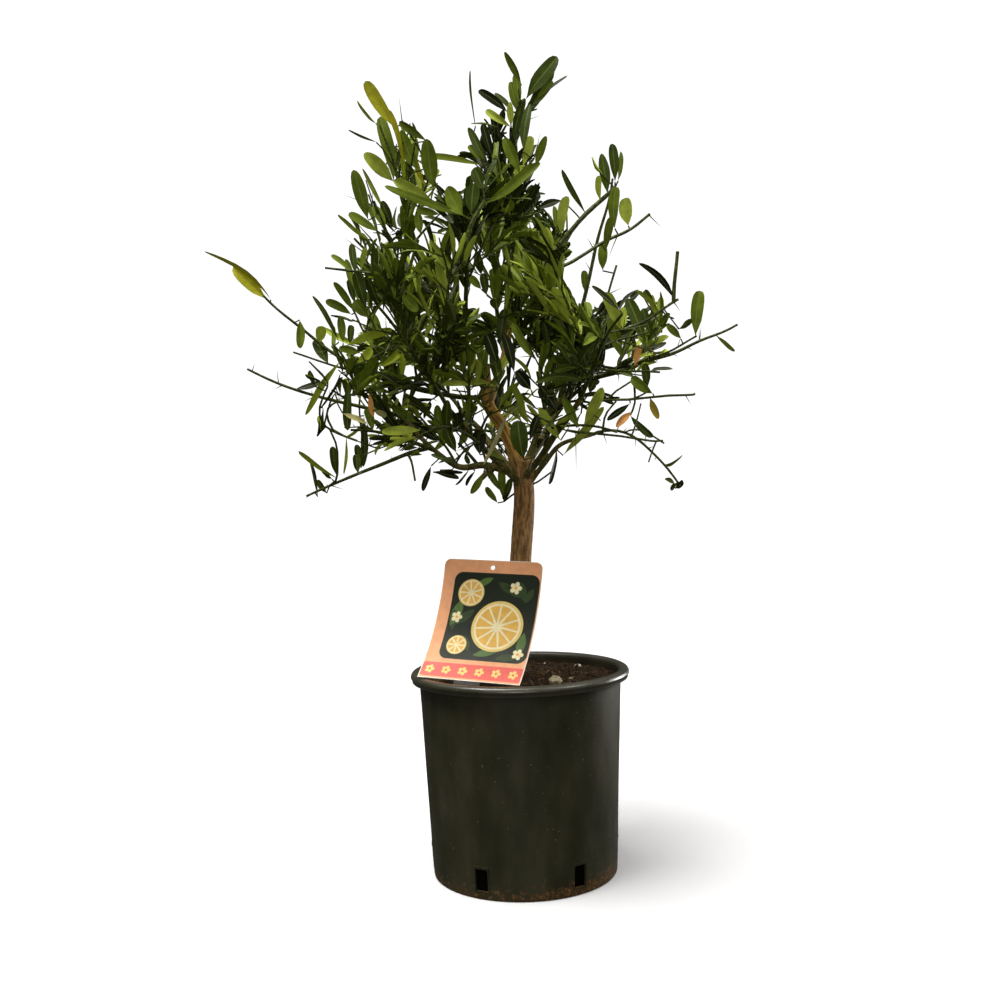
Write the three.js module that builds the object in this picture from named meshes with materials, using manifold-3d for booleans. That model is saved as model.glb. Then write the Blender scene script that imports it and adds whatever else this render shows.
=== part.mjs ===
// A young grafted citrus in a black nursery pot, 82 cm tall, with a plant label pushed into the soil.
// Millimetres, +Z up. The origin is the middle of the pot's flat underside, and the label faces -Y.
import * as THREE from "three";
import { mergeVertices } from "three/addons/utils/BufferGeometryUtils.js";
import Module from "manifold-3d";

const wasm = await Module();
wasm.setup();

// Driving dimensions
const CLEARANCE = 0.3;
const POT = {
  height: 204,
  baseRadius: 92.5,
  wallTopRadius: 101.3,
  rimRadius: 110,
  rimHeight: 9.5,
  skirtInset: 1.4,
  skirtHeight: 2.6,
  ledge: 1,
  wall: 2.5,
  floor: 3,
  foot: 2.5,
  sides: 32,
  arcSteps: 2,
};
const SLOT = { count: 6, firstDegrees: -27.5, width: 13, height: 21, bottom: 8, cornerRadius: 2, depth: 30 };
const SOIL = { top: 194, lump: 1.3, flatRadius: 20, shoulder: 2, sides: 24, rings: 4, seed: 5 };
const LABEL = {
  width: 106,
  height: 130,
  thickness: 0.8,
  cornerRadius: 7,
  holeRadius: 2,
  holeDrop: 7.5,
  stakeWidth: 26,
  stakeTipWidth: 4,
  stakeBend: 16,
  stakeStraight: 24,
  footLean: 50,
  topLean: 10,
  turnDegrees: 22,
  rollDegrees: 2.4,
  edge: [-51, -64, 203.5],
  steps: 10,
  bendSteps: 4,
};
const TRUNK = { sides: 12, steps: 9, flare: 3.4, flareHeight: 16 };
const BOUGH = { sides: 7, stepLength: 22 };
const CROWN = { lowest: 374, cellMargin: 0.6, limbMargin: 1, limbPieces: 8, firstSeed: 101, leafSeeds: 1000 };
const SHOOT = { sides: 3, steps: 5, pieces: 6, footRadius: 2.8, limbShare: 0.8, forkShare: 0.7 };
const TWIG = {
  spacing: 38,
  from: 0.12,
  to: 0.92,
  turnSpread: 0.6,
  openDegrees: 48,
  openSpread: 24,
  length: 72,
  lengthAtFoot: 1.1,
  lengthAtTip: 0.35,
  shortest: 0.7,
  longest: 1.2,
  lift: 0.12,
  shortened: [1, 0.65, 0.4],
  testedAt: [0.3, 0.5, 0.75, 1],
  radius: 1.5,
  footShare: 0.5,
  tipRadius: 0.5,
  pieces: 3,
};
const LEAF = {
  spacing: 30,
  fromOnShoot: 0.45,
  fromOnTwig: 0.25,
  to: 0.97,
  length: 54,
  width: 15.5,
  thickness: 1.4,
  widest: 0.44,
  smallest: 0.75,
  largest: 1.15,
  bareSize: 0.5,
  openDegrees: 42,
  openSpread: 30,
  tipOpenDegrees: 12,
  rollSpread: 1.6,
  sunkShare: 0.4,
  apart: 4,
  shortened: [1, 0.85, 0.7],
  lineFrom: 0.3,
  outerTest: 0.75,
};
const GOLDEN_ANGLE = THREE.MathUtils.degToRad(137.5);
const MERGE_DISTANCE = 1e-4;
const TINY = 1e-6;

// Each limb passes through its points. Its radius runs evenly from the first value to the last.
const LIMBS = [
  {
    name: "trunk",
    radii: [11.2, 10.2],
    points: [[-0.9, 0, 186], [0.8, 0, 240], [2.6, 0, 290], [6, 0, 334], [9.6, 0, 372], [9, 0, 408]],
  },
  {
    name: "bough_main",
    radii: [6.6, 5.2],
    points: [[7, 0, 404], [-1, 1, 428], [-10, 1, 452], [-21, 0, 470], [-25, -1, 486], [-28, -2, 508]],
  },
  {
    name: "bough_right",
    radii: [5.2, 3.2],
    points: [[12, 1, 401], [23, 4, 430], [32, 6, 458], [64, 8, 488]],
  },
  {
    name: "bough_low_left",
    radii: [4.2, 2.5],
    points: [[6, -1, 399], [-28, -8, 409], [-62, -11, 412], [-112, -9, 464]],
  },
  {
    name: "bough_low_right",
    radii: [3.8, 2.5],
    points: [[10, -1, 384], [30, -7, 408], [50, -9, 428], [88, -5, 440]],
  },
  {
    name: "bough_back_left",
    radii: [4.4, 2.8],
    points: [[8, 0, 390], [-12, 30, 416], [-55, 86, 470]],
  },
  {
    name: "bough_back_right",
    radii: [4.4, 2.8],
    points: [[9, 0, 396], [24, 34, 424], [56, 88, 474]],
  },
  {
    name: "bough_front_left",
    radii: [4, 2.6],
    points: [[8, 0, 388], [-14, -28, 410], [-62, -80, 460]],
  },
  {
    name: "bough_front_right",
    radii: [4, 2.6],
    points: [[9, 0, 392], [28, -32, 418], [62, -84, 466]],
  },
  {
    name: "bough_centre",
    radii: [4.4, 3],
    points: [[-23, 0, 474], [-11, 5, 508], [0, 6, 545], [4, 4, 577]],
  },
  {
    name: "bough_upper_left",
    radii: [4.2, 2.7],
    points: [[-25, -1, 488], [-46, -6, 524], [-63, -10, 562], [-84, -14, 612]],
  },
];

// Each mass grows from a place on a limb, from 0 at its foot to 1 at its tip. Its first shoot starts there,
// and the others fork off the first shoot. The rise lifts the middle of a shoot, and the bare share of its
// outer end has no side twigs and small leaves, but for a full-size tip leaf where one is asked for.
const MASSES = [
  {
    name: "foliage_top",
    limb: "bough_centre",
    shoots: [
      { from: 1, tip: [17, 0, 778], rise: -4 },
      { from: 0.3, tip: [50, 4, 748], rise: 4 },
      { from: 0.25, tip: [-30, 4, 742], rise: 4 },
    ],
  },
  {
    name: "foliage_top_left",
    limb: "bough_upper_left",
    shoots: [
      { from: 1, tip: [-122, -10, 748], rise: 0 },
      { from: 0.25, tip: [-70, -8, 712], rise: 0 },
    ],
  },
  {
    name: "foliage_upper_left",
    limb: "bough_upper_left",
    shoots: [
      { from: 0.62, tip: [-150, -2, 640], rise: -6 },
      { from: 0.4, tip: [-126, -38, 668], rise: 0 },
    ],
  },
  {
    name: "foliage_left",
    limb: "bough_main",
    shoots: [
      { from: 0.72, tip: [-250, 2, 594], rise: -16, bare: 0.45, tipLeaf: true },
      { from: 0.42, tip: [-172, 14, 596], rise: -4 },
      { from: 0.3, tip: [-118, 24, 584], rise: 4 },
    ],
  },
  {
    name: "foliage_low_left",
    limb: "bough_low_left",
    shoots: [
      { from: 1, tip: [-262, -8, 512], rise: -6, bare: 0.6 },
      { from: 0.3, tip: [-172, -60, 484], rise: 2 },
    ],
  },
  {
    name: "foliage_hanging",
    limb: "bough_low_left",
    shoots: [
      { from: 0.58, tip: [-206, -20, 384], rise: 20, bare: 0.1 },
      { from: 0.2, tip: [-96, -46, 396], rise: 6 },
    ],
  },
  {
    name: "foliage_right",
    limb: "bough_right",
    shoots: [
      { from: 1, tip: [232, 2, 544], rise: -4, bare: 0.5 },
      { from: 0.3, tip: [190, 30, 478], rise: 6, bare: 0.5 },
      { from: 0.35, tip: [182, -34, 528], rise: 0, bare: 0.4 },
    ],
  },
  {
    name: "foliage_low_right",
    limb: "bough_low_right",
    shoots: [
      { from: 1, tip: [167, -4, 382], rise: 28, bare: 0.4 },
      { from: 0.3, tip: [146, -46, 424], rise: 6, bare: 0.3 },
    ],
  },
  {
    name: "foliage_upper_right",
    limb: "bough_right",
    shoots: [
      { from: 0.84, tip: [106, -10, 690], rise: -8 },
      { from: 0.42, tip: [170, 8, 606], rise: -8, bare: 0.4 },
      { from: 0.55, tip: [147, 4, 656], rise: -2, bare: 0.6 },
    ],
  },
  {
    name: "foliage_centre_right",
    limb: "bough_centre",
    shoots: [
      { from: 0.7, tip: [78, 34, 660], rise: 6 },
      { from: 0.4, tip: [60, -46, 632], rise: 4 },
    ],
  },
  {
    name: "foliage_front_left",
    limb: "bough_front_left",
    shoots: [
      { from: 1, tip: [-112, -190, 540], rise: 6 },
      { from: 0.3, tip: [-46, -176, 592], rise: -4 },
      { from: 0.35, tip: [-128, -126, 600], rise: -4 },
    ],
  },
  {
    name: "foliage_front_right",
    limb: "bough_front_right",
    shoots: [
      { from: 1, tip: [92, -186, 532], rise: 6 },
      { from: 0.3, tip: [34, -178, 590], rise: -4 },
      { from: 0.35, tip: [96, -118, 584], rise: -4 },
    ],
  },
  {
    name: "foliage_back_left",
    limb: "bough_back_left",
    shoots: [
      { from: 1, tip: [-120, 192, 552], rise: 6 },
      { from: 0.3, tip: [-42, 182, 620], rise: -4 },
      { from: 0.35, tip: [-140, 112, 596], rise: -4 },
    ],
  },
  {
    name: "foliage_back_right",
    limb: "bough_back_right",
    shoots: [
      { from: 1, tip: [112, 194, 548], rise: 6 },
      { from: 0.3, tip: [34, 188, 616], rise: -4 },
      { from: 0.35, tip: [132, 110, 584], rise: -4 },
    ],
  },
  {
    name: "foliage_front_top",
    limb: "bough_upper_left",
    shoots: [
      { from: 0.35, tip: [-34, -104, 668], rise: -8 },
      { from: 0.45, tip: [8, -80, 680], rise: 0 },
    ],
  },
  {
    name: "foliage_back_top",
    limb: "bough_centre",
    shoots: [
      { from: 0.45, tip: [-20, 112, 684], rise: -8 },
      { from: 0.45, tip: [44, 96, 660], rise: 0 },
    ],
  },
  {
    name: "foliage_low_back",
    limb: "bough_back_left",
    shoots: [
      { from: 0.6, tip: [-30, 190, 452], rise: 16 },
      { from: 0.25, tip: [-124, 116, 440], rise: 8 },
    ],
  },
  {
    name: "foliage_inner_left",
    limb: "bough_low_left",
    shoots: [
      { from: 0.78, tip: [-160, -40, 448], rise: 4 },
      { from: 0.3, tip: [-118, -76, 428], rise: 4 },
      { from: 0.3, tip: [-136, 24, 484], rise: 2 },
    ],
  },
  {
    name: "foliage_inner_right",
    limb: "bough_right",
    shoots: [
      { from: 0.6, tip: [112, -50, 506], rise: 2 },
      { from: 0.25, tip: [76, -72, 462], rise: 2 },
      { from: 0.35, tip: [58, -50, 544], rise: 0 },
    ],
  },
  {
    name: "foliage_heart",
    limb: "bough_centre",
    shoots: [
      { from: 0.3, tip: [34, -62, 588], rise: -4 },
      { from: 0.25, tip: [-14, -88, 560], rise: -2 },
      { from: 0.3, tip: [38, -84, 520], rise: 2 },
    ],
  },
  {
    name: "foliage_heart_left",
    limb: "bough_upper_left",
    shoots: [
      { from: 0.2, tip: [-112, -60, 548], rise: -6 },
      { from: 0.3, tip: [-66, -98, 520], rise: -2 },
      { from: 0.35, tip: [-72, -66, 602], rise: -2 },
    ],
  },
  {
    name: "foliage_low_front",
    limb: "bough_front_right",
    shoots: [
      { from: 0.55, tip: [34, -150, 440], rise: 14 },
      { from: 0.3, tip: [92, -106, 434], rise: 6 },
      { from: 0.25, tip: [22, -112, 492], rise: 2 },
    ],
  },
  {
    name: "foliage_low_front_left",
    limb: "bough_front_left",
    shoots: [
      { from: 0.6, tip: [-74, -140, 440], rise: 10 },
      { from: 0.25, tip: [-20, -118, 456], rise: 4 },
      { from: 0.2, tip: [-24, -66, 396], rise: 4 },
      { from: 0.35, tip: [-40, -128, 500], rise: 0 },
    ],
  },
];
MASSES.forEach((mass, i) => {
  mass.seed = CROWN.firstSeed + i;
});

// Materials
const finish = (color, roughness) => new THREE.MeshStandardMaterial({ color, roughness, metalness: 0 });
const MATERIALS = {
  bark: finish(0x6b4f2d, 0.85),
  foliage: finish(0x38421a, 0.5),
  pot: finish(0x2b2b20, 0.55),
  soil: finish(0x271e0e, 0.95),
  label: finish(0xf0b58a, 0.4),
};

// Small helpers
const vector = (p) => new THREE.Vector3(...p);
const mix = (a, b, t) => a + (b - a) * t;

// A repeatable stream of numbers from 0 to 1.
function randomFrom(seed) {
  let state = seed;
  return () => {
    state = (state + 0x6d2b79f5) | 0;
    let t = Math.imul(state ^ (state >>> 15), 1 | state);
    t = (t + Math.imul(t ^ (t >>> 7), 61 | t)) ^ t;
    return ((t ^ (t >>> 14)) >>> 0) / 4294967296;
  };
}

// Solids and geometries
function mergedCopy(geometry) {
  const bare = geometry.clone();
  bare.deleteAttribute("normal");
  bare.deleteAttribute("uv");
  return mergeVertices(bare, MERGE_DISTANCE);
}

function solidOf(geometry) {
  const merged = mergedCopy(geometry);
  return new wasm.Manifold(
    new wasm.Mesh({
      numProp: 3,
      vertProperties: merged.attributes.position.array,
      triVerts: new Uint32Array(merged.index.array),
    }),
  );
}

function geometryOf(solid) {
  const mesh = solid.getMesh();
  const indexed = new THREE.BufferGeometry();
  indexed.setAttribute("position", new THREE.BufferAttribute(mesh.vertProperties, 3));
  indexed.setIndex(new THREE.BufferAttribute(mesh.triVerts, 1));
  const geometry = indexed.toNonIndexed();
  geometry.computeVertexNormals();
  return geometry;
}

// The outer skin of the largest body: what came loose, and the walls of a sealed hollow, are left out.
function largestBody(solid) {
  return solid.decompose().sort((a, b) => b.volume() - a.volume())[0];
}

const joined = (solids) => solids.reduce((sum, next) => sum.add(next));

// A cylinder bent along a curve, which tapers by the radius function and closes in a point where that is 0.
function limbAlong(curve, radiusAt, sides, steps) {
  const endRadius = radiusAt(1) > 0 ? 1 : 0;
  const geometry = new THREE.CylinderGeometry(endRadius, 1, 1, sides, steps);
  const frames = curve.computeFrenetFrames(steps, false);
  const position = geometry.attributes.position;
  for (let i = 0; i < position.count; i++) {
    const step = Math.round((position.getY(i) + 0.5) * steps);
    const t = step / steps;
    const across = Math.hypot(position.getX(i), position.getZ(i));
    const angle = Math.atan2(position.getZ(i), position.getX(i));
    const radius = across > TINY ? radiusAt(t) : 0;
    const point = curve
      .getPoint(t)
      .addScaledVector(frames.normals[step], radius * Math.cos(angle))
      .addScaledVector(frames.binormals[step], -radius * Math.sin(angle));
    position.setXYZ(i, point.x, point.y, point.z);
  }
  return geometry;
}

// The shortest distance from a point to a chain of short straight pieces.
function distanceToChain(point, chain) {
  const nearest = new THREE.Vector3();
  return chain.reduce((best, piece) => {
    piece.closestPointToPoint(point, true, nearest);
    return Math.min(best, nearest.distanceTo(point));
  }, Infinity);
}

function chainOf(curve, pieces) {
  const points = curve.getPoints(pieces);
  return points.slice(1).map((point, i) => new THREE.Line3(points[i], point));
}

// Pot: a tapered wall under a rolled rim, whose lower edge steps in at a ledge
function makePot() {
  const { height, baseRadius, wallTopRadius, rimRadius, wall, floor, foot } = POT;
  const rimBottom = height - POT.rimHeight;
  const skirtRadius = rimRadius - POT.skirtInset;
  const skirtTop = rimBottom + POT.skirtHeight;
  const bead = (rimRadius - wallTopRadius + wall) / 2;
  const profile = new THREE.Path();
  profile.moveTo(0, 0);
  profile.lineTo(baseRadius - foot, 0);
  profile.quadraticCurveTo(baseRadius, 0, baseRadius, foot);
  profile.lineTo(wallTopRadius, rimBottom);
  profile.lineTo(skirtRadius, rimBottom);
  profile.lineTo(skirtRadius, skirtTop);
  profile.lineTo(rimRadius, skirtTop + POT.ledge);
  profile.lineTo(rimRadius, height - bead);
  profile.quadraticCurveTo(rimRadius, height, rimRadius - bead, height);
  profile.quadraticCurveTo(wallTopRadius - wall, height, wallTopRadius - wall, height - bead);
  profile.lineTo(wallTopRadius - wall, rimBottom);
  profile.lineTo(baseRadius - wall, floor);
  profile.lineTo(0, floor);
  const lathe = new THREE.LatheGeometry(profile.getPoints(POT.arcSteps), POT.sides);
  const slots = Array.from({ length: SLOT.count }, (_, i) => slotCutter(i));
  return geometryOf(solidOf(lathe.rotateX(Math.PI / 2)).subtract(joined(slots)));
}

// A block with round upper corners that cuts one drainage slot through the wall.
function slotCutter(index) {
  const { width, height, cornerRadius, bottom, depth } = SLOT;
  const outline = new THREE.Shape();
  outline.moveTo(-width / 2, 0);
  outline.lineTo(width / 2, 0);
  outline.lineTo(width / 2, height - cornerRadius);
  outline.quadraticCurveTo(width / 2, height, width / 2 - cornerRadius, height);
  outline.lineTo(cornerRadius - width / 2, height);
  outline.quadraticCurveTo(-width / 2, height, -width / 2, height - cornerRadius);
  const turn = THREE.MathUtils.degToRad(SLOT.firstDegrees + (index * 360) / SLOT.count);
  const block = new THREE.ExtrudeGeometry(outline, { depth, bevelEnabled: false, curveSegments: 2 });
  block.rotateX(Math.PI / 2).translate(0, depth / 2 - POT.baseRadius, bottom).rotateZ(turn);
  return solidOf(block);
}

// Soil, with a lumpy top that is flat round the trunk's foot
function makeSoil() {
  const random = randomFrom(SOIL.seed);
  const wallHeight = POT.height - POT.rimHeight - POT.foot;
  const wallRadiusAt = (z) => mix(POT.baseRadius, POT.wallTopRadius, (z - POT.foot) / wallHeight);
  const innerRadiusAt = (z) => wallRadiusAt(z) - POT.wall - 2 * CLEARANCE;
  const bottom = POT.floor + CLEARANCE;
  const edge = innerRadiusAt(SOIL.top);
  const profile = [
    [0, bottom],
    [innerRadiusAt(bottom), bottom],
    [edge, SOIL.top - SOIL.shoulder],
  ];
  for (let ring = 0; ring <= SOIL.rings; ring++) {
    profile.push([mix(edge - SOIL.shoulder, SOIL.flatRadius, ring / SOIL.rings), SOIL.top]);
  }
  profile.push([0, SOIL.top]);
  const points = profile.map(([radius, z]) => new THREE.Vector2(radius, z));
  const bed = mergedCopy(new THREE.LatheGeometry(points, SOIL.sides).rotateX(Math.PI / 2));
  const position = bed.attributes.position;
  for (let i = 0; i < position.count; i++) {
    const radius = Math.hypot(position.getX(i), position.getY(i));
    if (position.getZ(i) === SOIL.top && radius > SOIL.flatRadius + CLEARANCE) {
      position.setZ(i, SOIL.top + SOIL.lump * (2 * random() - 1));
    }
  }
  return geometryOf(solidOf(bed).subtract(labelSolid(CLEARANCE)));
}

// Plant label: a card that leans back in an even curve, on a stake that turns down into the soil.
// Its path holds, for each step from the stake's tip to the card's top, how far out and how high it lies.
function labelPath() {
  const { height, stakeBend, stakeStraight, footLean, topLean, steps, bendSteps } = LABEL;
  const next = (lean, last, length) => {
    const angle = THREE.MathUtils.degToRad(lean);
    return new THREE.Vector2(last.x + length * Math.sin(angle), last.y + length * Math.cos(angle));
  };
  const card = [new THREE.Vector2(0, 0)];
  for (let i = 0; i < steps; i++) {
    card.push(next(mix(footLean, topLean, (i + 0.5) / steps), card[i], height / steps));
  }
  const stake = [new THREE.Vector2(0, 0)];
  for (let i = 0; i < bendSteps; i++) {
    stake.push(next(mix(footLean, 0, (i + 0.5) / bendSteps), stake[i], -stakeBend / bendSteps));
  }
  stake.push(next(0, stake[bendSteps], -stakeStraight));
  return [...stake.reverse(), ...card.slice(1)];
}

// The flat card with its foot at height 0 and the stake below, made larger all round by a clearance.
function labelOutline(clearance) {
  const { width, height, cornerRadius, stakeWidth, stakeTipWidth, stakeBend, stakeStraight } = LABEL;
  const half = width / 2 + clearance;
  const top = height + clearance;
  const low = -stakeBend - stakeStraight - clearance;
  const stake = stakeWidth / 2 + clearance;
  const tip = stakeTipWidth / 2 + clearance;
  const outline = new THREE.Shape();
  outline.moveTo(-half, -clearance);
  outline.lineTo(-stake, -clearance);
  outline.lineTo(-stake, low / 2);
  outline.lineTo(-tip, low);
  outline.lineTo(tip, low);
  outline.lineTo(stake, low / 2);
  outline.lineTo(stake, -clearance);
  outline.lineTo(half, -clearance);
  outline.lineTo(half, top - cornerRadius);
  outline.quadraticCurveTo(half, top, half - cornerRadius, top);
  outline.lineTo(cornerRadius - half, top);
  outline.quadraticCurveTo(-half, top, -half, top - cornerRadius);
  if (!clearance) {
    const hole = new THREE.Path();
    hole.absarc(0, height - LABEL.holeDrop, LABEL.holeRadius, 0, 2 * Math.PI, true);
    outline.holes.push(hole);
  }
  return outline;
}

// The card is the flat outline cut into strips, with every height turned into a length along the path.
function labelSolid(clearance) {
  const path = labelPath();
  const lengths = [0];
  for (let i = 1; i < path.length; i++) {
    lengths.push(lengths[i - 1] + path[i].distanceTo(path[i - 1]));
  }
  const foot = LABEL.stakeBend + LABEL.stakeStraight;
  const half = LABEL.thickness / 2 + clearance;
  const past = LABEL.thickness + clearance;
  const options = { depth: 2 * half, bevelEnabled: false, curveSegments: 4 };
  const flat = new THREE.ExtrudeGeometry(labelOutline(clearance), options);
  const card = solidOf(flat.rotateX(Math.PI / 2).translate(0, half, 0));
  const strips = lengths.slice(1).map((top, i) => {
    const low = i ? lengths[i] : -past;
    const high = i === lengths.length - 2 ? top + past : top;
    const strip = new THREE.BoxGeometry(2 * LABEL.width, 4 * half, high - low);
    return card.intersect(solidOf(strip.translate(0, 0, (low + high) / 2 - foot)));
  });
  const bent = strips.map((strip, i) => {
    const mesh = strip.getMesh();
    const before = pathNormal(path, i);
    const after = pathNormal(path, i + 1);
    for (let v = 0; v < mesh.vertProperties.length; v += 3) {
      const [across, out, up] = mesh.vertProperties.slice(v, v + 3);
      const t = (up + foot - lengths[i]) / (lengths[i + 1] - lengths[i]);
      const normal = before.clone().lerp(after, THREE.MathUtils.clamp(t, 0, 1));
      const place = path[i].clone().lerp(path[i + 1], t);
      mesh.vertProperties.set([across, place.x + normal.x * out, place.y + normal.y * out], v);
    }
    return new wasm.Manifold(mesh);
  });
  const turn = new THREE.Matrix4().makeRotationZ(THREE.MathUtils.degToRad(-LABEL.turnDegrees));
  const roll = new THREE.Matrix4().makeRotationY(THREE.MathUtils.degToRad(LABEL.rollDegrees));
  const frame = new THREE.Matrix4().makeTranslation(vector(LABEL.edge)).multiply(turn).multiply(roll);
  return joined(bent).transform(frame.elements);
}

// The mean normal of the path at one of its points, as long as it has to be to keep the card's thickness.
function pathNormal(path, i) {
  const before = path[i].clone().sub(path[Math.max(i - 1, 0)]).normalize();
  const after = path[Math.min(i + 1, path.length - 1)].clone().sub(path[i]).normalize();
  const along = before.add(after);
  const isEnd = i === 0 || i === path.length - 1;
  const scale = isEnd ? 1 : 2 / along.length();
  along.normalize();
  return new THREE.Vector2(along.y, -along.x).multiplyScalar(scale);
}

// Trunk and boughs
function limbCurve(limb) {
  return new THREE.CatmullRomCurve3(limb.points.map(vector), false, "catmullrom", 0.5);
}

function limbRadiusAt(limb, t) {
  const radius = mix(limb.radii[0], limb.radii[1], t);
  if (limb.name !== "trunk") return radius;
  const height = Math.max(limb.curve.getPoint(t).z - SOIL.top, 0);
  return radius + TRUNK.flare * Math.exp(-height / TRUNK.flareHeight);
}

// A block that fills the space under the trunk's flat cut.
function groundBlock() {
  const side = 4 * SOIL.flatRadius;
  const block = new THREE.BoxGeometry(side, side, side);
  return solidOf(block.translate(0, 0, SOIL.top + CLEARANCE - side / 2));
}

// A limb's solid, made larger all round by a clearance.
function limbSolid(limb, clearance) {
  const isTrunk = limb.name === "trunk";
  const sides = isTrunk ? TRUNK.sides : BOUGH.sides;
  const steps = isTrunk ? TRUNK.steps : Math.ceil(limb.curve.getLength() / BOUGH.stepLength);
  const radiusAt = (t) => limbRadiusAt(limb, t) + clearance;
  const body = solidOf(limbAlong(limb.curve, radiusAt, sides, steps));
  if (!clearance) return isTrunk ? body.subtract(groundBlock()) : body;
  const end = limb.curve.getPoint(1);
  const ahead = limb.curve.getTangent(1);
  const capFoot = end.clone().addScaledVector(ahead, -clearance);
  const cap = new THREE.LineCurve3(capFoot, end.clone().addScaledVector(ahead, clearance));
  return body.add(solidOf(limbAlong(cap, () => radiusAt(1), sides, 1)));
}

// Foliage: shoots, side twigs and leaves, by one rule for every mass
function shootCurve(start, tip, rise) {
  const middle = start.clone().lerp(tip, 0.5);
  middle.z += 2 * rise;
  return new THREE.QuadraticBezierCurve3(start, middle, tip);
}

function massShoots(mass) {
  const limb = LIMBS.find((l) => l.name === mass.limb);
  const first = mass.shoots[0];
  const stem = shootCurve(limb.curve.getPoint(first.from), vector(first.tip), first.rise);
  const stemRadius = Math.min(limbRadiusAt(limb, first.from) * SHOOT.limbShare, SHOOT.footRadius);
  return mass.shoots.map((shoot, i) => {
    const forkRadius = SHOOT.forkShare * mix(stemRadius, TWIG.tipRadius, shoot.from);
    return {
      curve: i ? shootCurve(stem.getPoint(shoot.from), vector(shoot.tip), shoot.rise) : stem,
      radius: i ? forkRadius : stemRadius,
      bare: shoot.bare ?? 0,
      tipLeaf: shoot.tipLeaf ?? false,
    };
  });
}

// The direction that leaves a curve at t, opened by an angle, in a turn round it.
function outwardFrom(curve, t, open, turn) {
  const along = curve.getTangent(t);
  const side = new THREE.Vector3(-along.y, along.x, 0);
  if (side.lengthSq() < TINY) side.set(1, 0, 0);
  side.normalize().applyAxisAngle(along, turn);
  return along.multiplyScalar(Math.cos(open)).addScaledVector(side, Math.sin(open));
}

function growTwigs(mass) {
  const random = randomFrom(mass.seed);
  const twigs = [];
  for (const shoot of mass.grown) {
    const length = shoot.curve.getLength();
    const count = Math.round((length * (1 - shoot.bare)) / TWIG.spacing);
    const firstTurn = random() * 2 * Math.PI;
    for (let i = 0; i < count; i++) {
      const t = mix(TWIG.from, TWIG.to - shoot.bare, (i + 0.5) / count);
      const turn = firstTurn + i * GOLDEN_ANGLE + (random() - 0.5) * TWIG.turnSpread;
      const open = THREE.MathUtils.degToRad(TWIG.openDegrees + (random() - 0.5) * TWIG.openSpread);
      const share = mix(TWIG.lengthAtFoot, TWIG.lengthAtTip, t) * mix(TWIG.shortest, TWIG.longest, random());
      const start = shoot.curve.getPoint(t);
      const outward = outwardFrom(shoot.curve, t, open, turn);
      const curves = TWIG.shortened.map((part) => {
        const reach = TWIG.length * share * part;
        const tip = start.clone().addScaledVector(outward, reach);
        tip.z += TWIG.lift * reach;
        return new THREE.LineCurve3(start, tip);
      });
      const curve = curves.find((candidate) => keepsClear(mass, candidate));
      const radius = Math.min(TWIG.radius, TWIG.footShare * mix(shoot.radius, TWIG.tipRadius, t));
      if (curve) twigs.push({ curve, radius, bare: 0, tipLeaf: false });
    }
  }
  return twigs;
}

// Tells whether the outer part of a twig stays in its mass's own space and clear of every limb.
function keepsClear(mass, curve) {
  return TWIG.testedAt.every((t) => isFree(mass, curve.getPoint(t), TWIG.radius));
}

function isFree(mass, point, radius) {
  if (point.z < CROWN.lowest + radius) return false;
  const own = distanceToChain(point, mass.chain) + 2 * (radius + CROWN.cellMargin);
  if (MASSES.some((other) => other !== mass && distanceToChain(point, other.chain) <= own)) return false;
  return LIMBS.every((limb) => {
    const reach = Math.max(...limb.radii) + radius + CROWN.limbMargin;
    return distanceToChain(point, limb.chain) > reach;
  });
}

function growLeaves(mass, stems) {
  const random = randomFrom(mass.seed + CROWN.leafSeeds);
  const chains = stems.map((stem) => chainOf(stem.curve, TWIG.pieces));
  const leaves = [];
  stems.forEach((stem, s) => {
    const from = s < mass.grown.length ? LEAF.fromOnShoot : LEAF.fromOnTwig;
    const length = stem.curve.getLength() * (1 - from);
    const count = Math.max(1, Math.round(length / LEAF.spacing));
    const firstTurn = random() * 2 * Math.PI;
    const otherStems = chains.filter((_, c) => c !== s);
    for (let i = 0; i <= count; i++) {
      const isTip = i === count;
      const t = mix(from, LEAF.to, i / count);
      const turn = firstTurn + i * GOLDEN_ANGLE;
      const opened = isTip ? LEAF.tipOpenDegrees : LEAF.openDegrees + (random() - 0.5) * LEAF.openSpread;
      const open = THREE.MathUtils.degToRad(opened);
      const isSmall = t > 1 - stem.bare && !(isTip && stem.tipLeaf);
      const size = mix(LEAF.smallest, LEAF.largest, random()) * (isSmall ? LEAF.bareSize : 1);
      const roll = (random() - 0.5) * LEAF.rollSpread;
      const others = [...leaves.map((other) => [other.line]), ...otherStems];
      const fits = (point) =>
        others.every((line) => distanceToChain(point, line) > LEAF.apart) &&
        isFree(mass, point, LEAF.thickness / 2);
      const tries = LEAF.shortened.map((part, k) => {
        const tried = turn + (2 * Math.PI * k) / LEAF.shortened.length;
        const outward = outwardFrom(stem.curve, t, open, tried);
        return leafAt(stem.curve.getPoint(t), outward, part * size, roll, LEAF.sunkShare * stem.radius);
      });
      const leaf = tries.find((candidate) => candidate.reach.every(fits));
      if (leaf) leaves.push(leaf);
    }
  });
  return leaves;
}

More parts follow.
